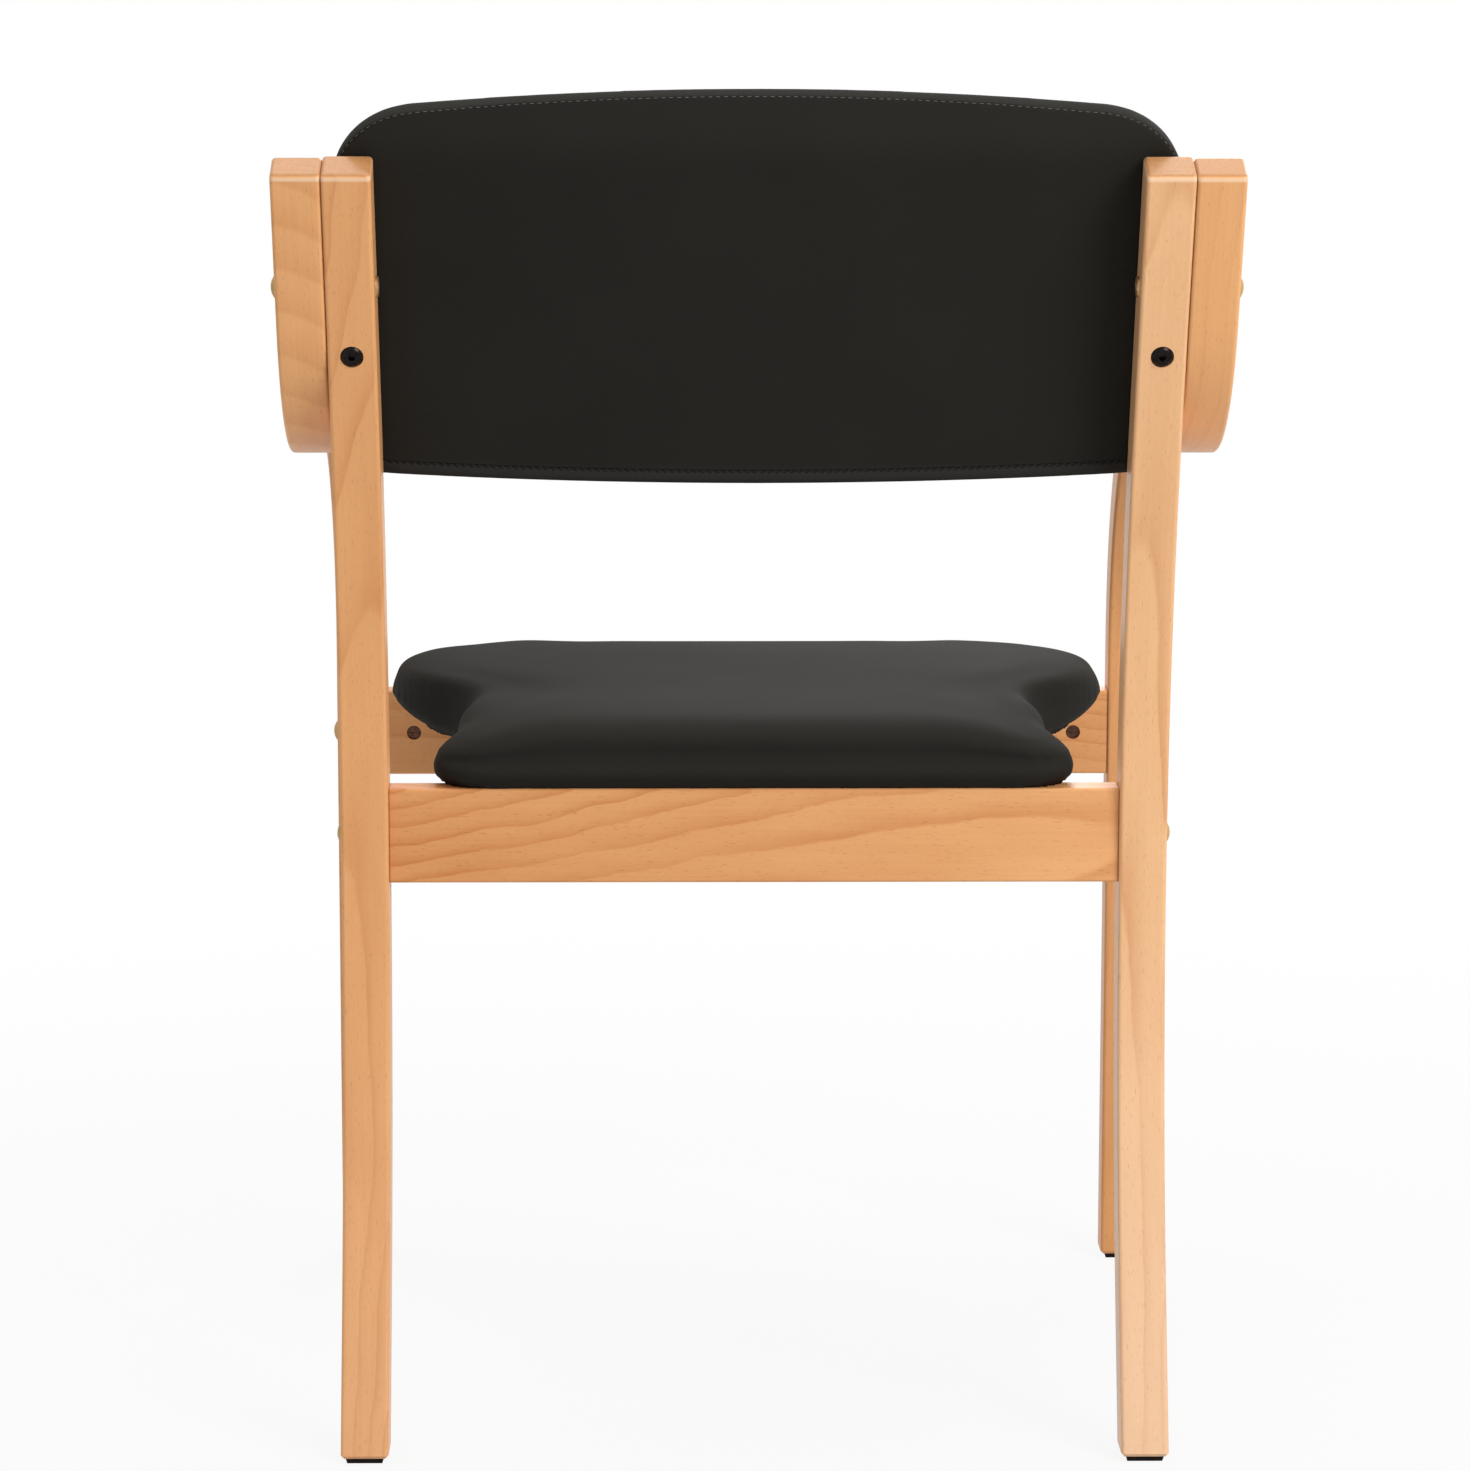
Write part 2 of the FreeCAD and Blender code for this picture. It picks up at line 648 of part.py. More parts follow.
def seat_bolts():
    """The bolts up through the rails into the board."""
    bolt = socket_bolt(bolt_head_diameter / 2, bolt_head_height, seat_bolt_length, bolt_head_height / 8)
    return Part.makeCompound([aimed(bolt, point - up * seat_bolt_grip, up) for point in seat_bolt_points()])


def seat_tee_nuts():
    """The tee nuts in the seat board."""
    places = [Vector(point.x, point.y, seat_tee_seat) for point in seat_bolt_points()]
    return Part.makeCompound([aimed(tee_nut(), place, -up) for place in places])


# Back, made flat on its rear side with its lower edge on the X axis, then leaned against the posts

back_half = post_inner_x + back_lap


def back_outline(inset, z):
    """The back's outline: crowned top and sides that meet in rounded corners, and a straight lower edge."""
    top = Vector(0, back_height - back_top_crown_radius, z)
    side = Vector(back_half - back_side_crown_radius, back_height / 2, z)
    low = Vector(0, back_bottom_corner, z)
    reach = back_side_crown_radius - back_bottom_corner
    low.x = side.x + math.sqrt(reach ** 2 - (side.y - low.y) ** 2)
    high = back_top_corner_centre(top, side)
    low_turn = math.degrees(math.atan2(low.y - side.y, low.x - side.x))
    high_turn = math.degrees(math.atan2(high.y - side.y, high.x - side.x))
    top_turn = math.degrees(math.atan2(high.y - top.y, high.x - top.x))
    left = [
        plan_arc(low, back_bottom_corner - inset, -90, low_turn),
        plan_arc(side, back_side_crown_radius - inset, low_turn, high_turn),
        plan_arc(high, back_top_corner - inset, high_turn, top_turn),
        plan_arc(top, back_top_crown_radius - inset, top_turn, 180 - top_turn),
    ]
    for centre in (high, side, low):
        centre.x = -centre.x
    right = [
        plan_arc(high, back_top_corner - inset, 180 - top_turn, 180 - high_turn),
        plan_arc(side, back_side_crown_radius - inset, 180 - high_turn, 180 - low_turn),
        plan_arc(low, back_bottom_corner - inset, 180 - low_turn, 270),
    ]
    return closed_wire(left + right)


def back_top_corner_centre(top, side):
    """The centre of the corner's arc, which touches the arcs of the top and of the side from within."""
    top_reach = back_top_crown_radius - back_top_corner
    side_reach = back_side_crown_radius - back_top_corner
    between = side - top
    distance = between.Length
    along = (top_reach ** 2 - side_reach ** 2 + distance ** 2) / (2 * distance)
    aside = math.sqrt(top_reach ** 2 - along ** 2)
    direction = between / distance
    return top + direction * along + Vector(direction.y, -direction.x, 0) * aside


def back_prism(inset):
    """The room within the back's outline, deeper than the cushion both ways."""
    depth = back_thickness + back_edge_thickness
    return Part.Face(back_outline(inset, -depth)).extrude(up * (3 * depth))


def back_sheet(near, far):
    """A curved sheet across the chair, between two distances in front of the rear panel's outer face."""
    margin = back_thickness
    low = -margin
    high = back_height + margin
    outer = cylinder(Vector(0, low, back_axis_height), Vector(0, 1, 0), back_curve_radius - near, high - low)
    inner = cylinder(Vector(0, low, back_axis_height), Vector(0, 1, 0), back_curve_radius - far, high - low)
    return outer.cut(inner)


def back_swell(skin):
    """A curved sheet that is thickest half way up, turned about the curve's upright axis."""
    rear = back_axis_height - back_curve_radius + skin
    edge = rear + back_edge_thickness - 2 * skin
    middle = rear + back_thickness - 2 * skin
    swell = Part.Arc(Vector(0, 0, edge), Vector(0, back_height / 2, middle), Vector(0, back_height, edge))
    section = closed_wire([Vector(0, 0, rear), swell.toShape(), Vector(0, back_height, rear)])
    swing = 1.2 * math.degrees(math.asin(back_half / back_curve_radius))
    face = Part.Face(section)
    face.rotate(Vector(0, 0, back_axis_height), Vector(0, 1, 0), -swing)
    return face.revolve(Vector(0, 0, back_axis_height), Vector(0, 1, 0), 2 * swing)


def back_form(skin):
    """The back cushion with rolled edges, or the room inside a cover of the given thickness."""
    form = back_swell(skin).common(back_prism(skin))
    axis = Vector(0, 0, back_axis_height)
    rear_edges = []
    front_edges = []
    for edge in form.Edges:
        reach = [math.hypot(v.X - axis.x, v.Z - axis.z) for v in edge.Vertexes]
        if max(abs(r - back_curve_radius + skin) for r in reach) < tolerance:
            rear_edges.append(edge)
        elif max(reach) < back_curve_radius - back_edge_thickness / 2:
            front_edges.append(edge)
    form = form.makeFillet(back_front_roll - skin, front_edges)
    rear_middles = [edge.CenterOfMass for edge in rear_edges]
    return form.makeFillet(back_rear_roll - skin, [e for e in form.Edges if is_at_one_of(e, rear_middles)])


def leaned(shape):
    """A piece of the back, set against the posts."""
    moved = shape.copy()
    moved.Placement = back_placement
    return moved


def back_bolt_seat():
    """Where the head of the back bolt seats in the post, below its back face."""
    on_front = back_corner + across * back_bolt_x + up_lean * back_bolt_rise
    return on_front + out_of_back * (post_depth - back_bolt_head_height + back_bolt_proud)


def back_tee_place():
    """The seat of the tee nut's flange in the back's own frame."""
    board_front = back_curve_radius - cover_thickness - 2 * soft_clearance - back_board_thickness
    height = back_axis_height - math.sqrt(board_front ** 2 - back_bolt_x ** 2)
    return Vector(back_bolt_x, back_bolt_rise, height - tee_recess_depth)


def back_board():
    """The curved plywood board with its tee nut holes."""
    near = cover_thickness + soft_clearance
    board = back_sheet(near, near + back_board_thickness).common(back_prism(back_board_inset))
    holes = tee_nut_holes(back_tee_place(), -up, 2 * back_board_thickness)
    return leaned(drilled(board, holes + [mirrored(h) for h in holes]))


def back_foam():
    """The foam in front of the board, inside the cover."""
    near = cover_thickness + soft_clearance
    room = back_form(near)
    board_room = back_sheet(-back_thickness, near + back_board_thickness + soft_clearance)
    return leaned(room.cut(board_room))


def back_cover_front():
    """The vinyl front cover, turned round the edge to the rear panel."""
    cover = back_form(0).cut(back_form(cover_thickness))
    rear_room = back_sheet(-back_thickness, 2 * cover_thickness).common(back_prism(back_panel_inset))
    return leaned(cover.cut(rear_room))


def back_cover_rear():
    """The vinyl rear panel, with the holes of the back bolts."""
    panel = back_sheet(0, cover_thickness).common(back_prism(back_panel_inset + soft_clearance))
    hole = cylinder(Vector(back_bolt_x, back_bolt_rise, -back_thickness), up, bolt_hole, 2 * back_thickness)
    return leaned(drilled(panel, [hole, mirrored(hole)]))


def back_bolt():
    """The black bolt through the post into the back."""
    edge = back_bolt_head_height / 3
    bolt = socket_bolt(back_bolt_head_diameter / 2, back_bolt_head_height, back_bolt_length, edge)
    return aimed(bolt, back_bolt_seat(), -out_of_back)


def back_tee_nuts():
    """The tee nuts in the back board."""
    nut = aimed(tee_nut(), back_tee_place(), -up)
    return leaned(both_sides(nut))


# Feet

def glide(point, leg_end_depth, leg_end_width):
    """A glide under the end of a leg: a tapered pad with room for its nail's head."""
    wires = []
    for height, inset in ((0, glide_inset + glide_taper), (glide_thickness, glide_inset)):
        half_x = leg_end_width / 2 - inset
        half_y = leg_end_depth / 2 - inset
        signs = ((-1, -1), (1, -1), (1, 1), (-1, 1))
        corners = [Vector(sx * half_x, sy * half_y, height) + point for sx, sy in signs]
        wires.append(Part.makePolygon(corners + corners[:1]))
    pad = Part.makeLoft(wires, True, True)
    shank = cylinder(point, up, nail_diameter / 2 + nail_clearance, glide_thickness)
    head = cylinder(point, up, nail_head_diameter / 2 + nail_clearance, 2 * nail_head_height)
    return pad.cut(Part.makeCompound([shank, head]))


def nail(point):
    """The nail of a glide, with its head sunk in the pad."""
    head_radius = nail_head_diameter / 2
    shank = nail_diameter / 2
    tip = nail_length - 2 * nail_diameter
    solid = turned([(0, 0), (head_radius, 0), (head_radius, nail_head_height), (shank, nail_head_height),
                    (shank, tip), (0, nail_length)])
    return aimed(solid, point + up * nail_head_height, up)


# All pieces by name

rear_end_depth = post_depth / math.cos(math.radians(leg_rake))
rear_post_left = rear_post()
arm_loop_left = arm_loop()
rear_glide = glide(rear_foot_point(), rear_end_depth, post_width)
front_glide = glide(front_foot_point(), arm_thickness, arm_width)
nails = [nail(rear_foot_point()), nail(front_foot_point())]
arm_outer_x = overall_width / 2

pieces = {
    "rear_post_left": rear_post_left,
    "rear_post_right": mirrored(rear_post_left),
    "arm_loop_left": arm_loop_left,
    "arm_loop_right": mirrored(arm_loop_left),
    "rear_rail": rail(rear_rail_back_y, post_inner_x, rear_bolt_point, -1),
    "front_rail": rail(front_rail_back_y, arm_inner_x, front_bolt_point, 1),
    "rear_rail_dowels": rail_dowels(rear_bolt_point, post_inner_x),
    "front_rail_dowels": rail_dowels(front_bolt_point, arm_inner_x),
    "arm_dowels": Part.makeCompound([both_sides(aimed(dowel(), p, across)) for p in arm_dowel_points()]),
    "seat_board": seat_board(),
    "seat_foam": seat_foam(),
    "seat_cover": seat_cover(),
    "seat_liner": seat_liner(),
    "seat_bolts": seat_bolts(),
    "seat_tee_nuts": seat_tee_nuts(),
    "back_board": back_board(),
    "back_foam": back_foam(),
    "back_cover_front": back_cover_front(),
    "back_cover_rear": back_cover_rear(),
    "back_bolts": both_sides(back_bolt()),
    "back_tee_nuts": back_tee_nuts(),
    "arm_bolts": both_sides(capped_bolt(arm_bolt_point, arm_outer_x, arm_bolt_length)),
    "arm_bolt_caps": both_sides(cap(arm_bolt_point, arm_outer_x)),
    "arm_sleeve_nuts": both_sides(sleeve_nut()),
    "rear_rail_bolts": both_sides(capped_bolt(rear_bolt_point, arm_inner_x, rail_bolt_length)),
    "rear_bolt_caps": both_sides(cap(rear_bolt_point, arm_inner_x)),
    "rear_barrel_nuts": both_sides(barrel_nut(rear_bolt_point, post_inner_x, -1)),
    "front_rail_bolts": both_sides(capped_bolt(front_bolt_point, arm_outer_x, rail_bolt_length)),
    "front_bolt_caps": both_sides(cap(front_bolt_point, arm_outer_x)),
    "front_barrel_nuts": both_sides(barrel_nut(front_bolt_point, arm_inner_x, 1)),
    "foot_glide_rear_left": rear_glide,
    "foot_glide_rear_right": mirrored(rear_glide),
    "foot_glide_front_left": front_glide,
    "foot_glide_front_right": mirrored(front_glide),
    "glide_nails": Part.makeCompound([both_sides(n) for n in nails]),
}

os.makedirs("parts", exist_ok=True)
for name, shape in pieces.items():
    shape.exportStep(os.path.join("parts", name + ".step"))
    print(name, len(shape.Solids), "solids", "valid" if shape.isValid() else "NOT VALID", round(shape.Volume))
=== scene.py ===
"""Looks of a beech visitor chair with a black vinyl seat and back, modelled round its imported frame.

Lengths are in metres. The sitter faces -Y with +X at their left, and the camera stands behind the chair.
"""
import json
import logging
import math
from dataclasses import dataclass, field
from enum import Enum
from functools import cached_property
from typing import Any, Callable, Iterable, Optional, Sequence, Union

import bpy
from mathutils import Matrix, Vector
from mathutils.bvhtree import BVHTree


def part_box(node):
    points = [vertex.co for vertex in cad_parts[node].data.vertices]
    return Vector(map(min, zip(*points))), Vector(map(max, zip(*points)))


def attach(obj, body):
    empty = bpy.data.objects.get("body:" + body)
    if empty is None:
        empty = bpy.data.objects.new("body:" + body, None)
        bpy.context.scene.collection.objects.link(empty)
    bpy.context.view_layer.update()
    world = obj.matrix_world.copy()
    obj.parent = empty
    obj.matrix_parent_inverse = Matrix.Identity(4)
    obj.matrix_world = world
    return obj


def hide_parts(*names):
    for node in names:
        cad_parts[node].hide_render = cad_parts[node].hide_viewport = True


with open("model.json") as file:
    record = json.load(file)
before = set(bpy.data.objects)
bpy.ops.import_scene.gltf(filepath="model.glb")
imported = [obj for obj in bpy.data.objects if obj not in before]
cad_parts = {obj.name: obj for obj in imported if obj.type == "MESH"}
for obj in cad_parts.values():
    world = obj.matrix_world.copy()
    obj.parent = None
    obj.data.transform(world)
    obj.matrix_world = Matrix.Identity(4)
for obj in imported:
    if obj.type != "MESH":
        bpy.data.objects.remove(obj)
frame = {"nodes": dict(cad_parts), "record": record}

log = logging.getLogger("visitor_chair")

Pair = tuple[float, float]
Triple = tuple[float, float, float]
Colour = Triple
BODY = "root"
BACK_RAKE = math.radians(23)
LEG_RAKE = math.radians(18)
UP_LEAN = Vector((0, math.sin(BACK_RAKE), math.cos(BACK_RAKE)))
OUT_OF_BACK = Vector((0, math.cos(BACK_RAKE), -math.sin(BACK_RAKE)))
UP = Vector((0, 0, 1))
# How far from the chair's middle a post meets its arm loop
JOINT_X = 0.260
MILLIMETRE = 0.001


class Slot(Enum):
    """The material slots of the chair's record, apart from the wood's."""

    PLYWOOD = "plywood"
    VINYL = "vinyl"
    LINER = "liner"
    BLACK_STEEL = "black_steel"
    ZINC_STEEL = "zinc_steel"
    CAP_PLASTIC = "cap_plastic"
    GLIDE_PLASTIC = "glide_plastic"


def smooth_step(low: float, high: float, value: float) -> float:
    """A share that rises smoothly from 0 at low to 1 at high."""
    share = min(max((value - low) / (high - low), 0.0), 1.0)
    return share * share * (3 - 2 * share)


def hump(middle: float, spread: float, value: float) -> float:
    """A share that is 1 at the middle and falls away smoothly over a spread."""
    return math.exp(-((value - middle) / spread) ** 2)


# Shader maths

class Reading:
    """A number that varies over a surface, with arithmetic that adds Math nodes to its sheet."""

    def __init__(self, sheet: "FinishSheet", socket: bpy.types.NodeSocket) -> None:
        """Keeps the sheet and the output that gives the number."""
        self.sheet = sheet
        self.socket = socket

    def maths(self, operation: str, *others: "Number") -> "Reading":
        """A Math node's result on this number and the others."""
        return self.sheet.maths(operation, self, *others)

    def __add__(self, other: "Number") -> "Reading":
        """The sum."""
        return self.maths("ADD", other)

    __radd__ = __add__

    def __sub__(self, other: "Number") -> "Reading":
        """The difference."""
        return self.maths("SUBTRACT", other)

    def __rsub__(self, other: "Number") -> "Reading":
        """The difference, with this number taken away."""
        return self.sheet.maths("SUBTRACT", other, self)

    def __mul__(self, other: "Number") -> "Reading":
        """The product."""
        return self.maths("MULTIPLY", other)

    __rmul__ = __mul__

    def __truediv__(self, other: "Number") -> "Reading":
        """The quotient."""
        return self.maths("DIVIDE", other)

    def __pow__(self, other: "Number") -> "Reading":
        """The power."""
        return self.maths("POWER", other)

    def __abs__(self) -> "Reading":
        """The size without its sign."""
        return self.maths("ABSOLUTE")

    def at_least(self, floor: "Number") -> "Reading":
        """The larger of this number and a floor."""
        return self.maths("MAXIMUM", floor)

    def at_most(self, ceiling: "Number") -> "Reading":
        """The smaller of this number and a ceiling."""
        return self.maths("MINIMUM", ceiling)

    def ramp(self, low: float, high: float) -> "Reading":
        """A share that rises smoothly from 0 to 1.

        Args:
            low: The number at which the share is 0.
            high: The number at which it is 1.

        Returns:
            The share.
        """
        sockets = {"Value": self, "From Min": low, "From Max": high}
        made = self.sheet.node("ShaderNodeMapRange", sockets, interpolation_type="SMOOTHSTEP")
        return Reading(self.sheet, made.outputs[0])


Number = Union[float, Reading]


class FinishSheet:
    """The node sheet of one finish."""

    def __init__(self, tree: bpy.types.NodeTree) -> None:
        """Starts from an empty node tree."""
        self.tree = tree
        self.tree.nodes.clear()

    def node(self, kind: str, sockets: dict[Union[int, str], Any], **settings: Any) -> bpy.types.Node:
        """Adds a node.

        Args:
            kind: The node's type.
            sockets: Values or links of its inputs, by name or number.
            settings: Its settings, which are set first.

        Returns:
            The new node.
        """
        made = self.tree.nodes.new(kind)
        for name, value in settings.items():
            setattr(made, name, value)
        for key, value in sockets.items():
            source = value.socket if isinstance(value, Reading) else value
            if isinstance(source, bpy.types.NodeSocket):
                self.tree.links.new(source, made.inputs[key])
            elif isinstance(made.inputs[key], bpy.types.NodeSocketColor):
                made.inputs[key].default_value = (*source, 1)
            else:
                made.inputs[key].default_value = source
        return made

    def maths(self, operation: str, *values: Number) -> Reading:
        """A Math node's result."""
        made = self.node("ShaderNodeMath", dict(enumerate(values)), operation=operation)
        return Reading(self, made.outputs[0])

    def place(self) -> bpy.types.NodeSocket:
        """The place on the piece as a vector."""
        return self.node("ShaderNodeTexCoord", {}).outputs["Object"]

    def position(self) -> tuple[Reading, Reading, Reading]:
        """The place on the piece along X, Y and Z."""
        parts = self.node("ShaderNodeSeparateXYZ", {0: self.place()})
        return tuple(Reading(self, output) for output in parts.outputs)

    def vector(self, x: Number, y: Number, z: Number) -> bpy.types.NodeSocket:
        """A vector of three numbers."""
        return self.node("ShaderNodeCombineXYZ", {0: x, 1: y, 2: z}).outputs[0]

    def scaled(self, scale: Triple) -> bpy.types.NodeSocket:
        """The place on the piece, scaled along X, Y and Z."""
        return self.vector(*(part * share for part, share in zip(self.position(), scale)))

    def noise(self, place: bpy.types.NodeSocket, scale: float, detail: float = 2.0) -> Reading:
        """Soft noise from 0 to 1."""
        made = self.node("ShaderNodeTexNoise", {"Vector": place, "Scale": scale, "Detail": detail})
        return Reading(self, made.outputs[0])

    def cells(self, place: bpy.types.NodeSocket, scale: float) -> Reading:
        """The distance to the middle of irregular cells."""
        made = self.node("ShaderNodeTexVoronoi", {"Vector": place, "Scale": scale}, feature="SMOOTH_F1")
        return Reading(self, made.outputs["Distance"])

    def blend(self, share: Number, start: Any, end: Any) -> bpy.types.NodeSocket:
        """A colour between two others."""
        return self.node("ShaderNodeMix", {0: share, 6: start, 7: end}, data_type="RGBA").outputs[2]

    def bump(self, height: Reading, depth: float,
             under: Optional[bpy.types.NodeSocket] = None) -> bpy.types.NodeSocket:
        """A normal that follows a height.

        Args:
            height: The height, from 0 to 1.
            depth: The length that a height of 1 stands for.
            under: Another normal, which this one goes on top of.

        Returns:
            The normal.
        """
        sockets = {"Height": height, "Distance": depth, "Strength": 1.0}
        if under is not None:
            sockets["Normal"] = under
        return self.node("ShaderNodeBump", sockets).outputs[0]

    def surface(self, **sockets: Any) -> None:
        """Ends the sheet with a Principled shader, whose sockets are given with _ for a space."""
        named = {name.replace("_", " "): value for name, value in sockets.items()}
        self.end(self.node("ShaderNodeBsdfPrincipled", named).outputs[0])

    def end(self, shader: bpy.types.NodeSocket, kind: str = "ShaderNodeOutputMaterial") -> None:
        """Links a shader to the sheet's output."""
        self.node(kind, {0: shader})


class Finish:
    """A finish that makes its own material from its sizes and colours."""

    name: str

    def draw(self, sheet: FinishSheet) -> None:
        """Adds the finish's nodes to a sheet."""
        raise NotImplementedError

    def material(self) -> bpy.types.Material:
        """The finish as a material, made once.

        Returns:
            The material.
        """
        made = bpy.data.materials.get(self.name)
        if made is None:
            made = bpy.data.materials.new(self.name)
            made.use_nodes = True
            self.draw(FinishSheet(made.node_tree))
        return made

    def dress(self, piece: bpy.types.Object) -> None:
        """Gives the piece this finish alone.

        Args:
            piece: The piece, whose other materials go.
        """
        piece.data.materials.clear()
        piece.data.materials.append(self.material())
        for polygon in piece.data.polygons:
            polygon.material_index = 0


# Run of the grain in each member

Grain = tuple[Reading, Reading, Reading]


@dataclass(frozen=True)
class RailGrain:
    """Grain that runs straight across the chair."""

    middle: Vector

    def follow(self, sheet: FinishSheet) -> Grain:
        """The place along, across and through the rail."""
        x, y, z = sheet.position()
        return x, z - self.middle.z, y - self.middle.y


@dataclass(frozen=True)
class PostGrain:
    """Grain that follows a rear post: straight to the foot, round the long bend and straight to the top."""

    middle_x: float = 0.245
    bend_y: float = 1.00417
    bend_z: float = 0.346
    bend_radius: float = 0.830
    depth: float = 0.030

    def follow(self, sheet: FinishSheet) -> Grain:
        """The place along, across and through the post.

        Args:
            sheet: The finish's sheet.

        Returns:
            The three distances.
        """
        x, y, z = sheet.position()
        ahead = self.bend_y - y
        above = z - self.bend_z
        upper = ahead * math.cos(BACK_RAKE) + above * math.sin(BACK_RAKE)
        past_top = above * math.cos(BACK_RAKE) - ahead * math.sin(BACK_RAKE)
        lower = ahead * math.cos(LEG_RAKE) - above * math.sin(LEG_RAKE)
        past_foot = 0 - ahead * math.sin(LEG_RAKE) - above * math.cos(LEG_RAKE)
        reach_top = length(upper, past_top.at_most(0))
        reach_foot = length(lower, past_foot.at_most(0))
        reach = reach_top + reach_foot - length(ahead, above)
        turn = above.maths("ARCTAN2", ahead).at_most(BACK_RAKE).at_least(-LEG_RAKE)
        along = turn * (self.bend_radius + self.depth / 2) + past_top.at_least(0) - past_foot.at_least(0)
        return along, abs(x) - self.middle_x, reach - self.bend_radius


@dataclass(frozen=True)
class LoopGrain:
    """Grain that follows an arm loop: up the front leg, along the arm and up beside the post."""

    middle_x: float = 0.275
    thickness: float = 0.028
    top: float = 0.654
    front_y: float = -0.0755
    front_bend: float = 0.180
    rear_y: float = 0.12867
    rear_bend: float = 0.140

    def follow(self, sheet: FinishSheet) -> Grain:
        """The place along, across and through the loop.

        Args:
            sheet: The finish's sheet.

        Returns:
            The three distances.
        """
        x, y, z = sheet.position()
        outer = self.front_bend + self.thickness
        inner = self.rear_bend - self.thickness
        before = (y - self.front_y).at_most(0)
        over = (z - (self.top - outer)).at_least(0)
        front_depth = outer - length(before, over)
        front_turn = over.maths("ARCTAN2", 0 - before)
        leg = (z - (self.top - outer)).at_most(0)
        arm = (y - self.front_y).at_least(0).at_most(self.rear_y - self.front_y)
        front_along = leg + front_turn * (self.front_bend + self.thickness / 2) + arm
        behind = (y - self.rear_y).at_least(0)
        below = z - (self.top + inner)
        reach = behind * math.cos(BACK_RAKE) - below * math.sin(BACK_RAKE)
        past_bend = behind * math.sin(BACK_RAKE) + below * math.cos(BACK_RAKE)
        bending = past_bend.at_most(0)
        rear_depth = length(reach, bending) - inner
        rear_turn = math.pi / 2 - BACK_RAKE - (0 - bending).maths("ARCTAN2", reach)
        rear_along = rear_turn * (self.rear_bend - self.thickness / 2) + past_bend.at_least(0)
        return front_along + rear_along, abs(x) - self.middle_x, front_depth + rear_depth - (self.top - z)


def length(first: Reading, second: Reading) -> Reading:
    """The length of a vector of two numbers."""
    return (first * first + second * second) ** 0.5


# Finishes

NOISE_MIDDLE = 0.5
MIDDLE_BAND = (0.3, 0.7)
# Beyond the chair, for a mark that a member doesn't have
NOWHERE = 9.0


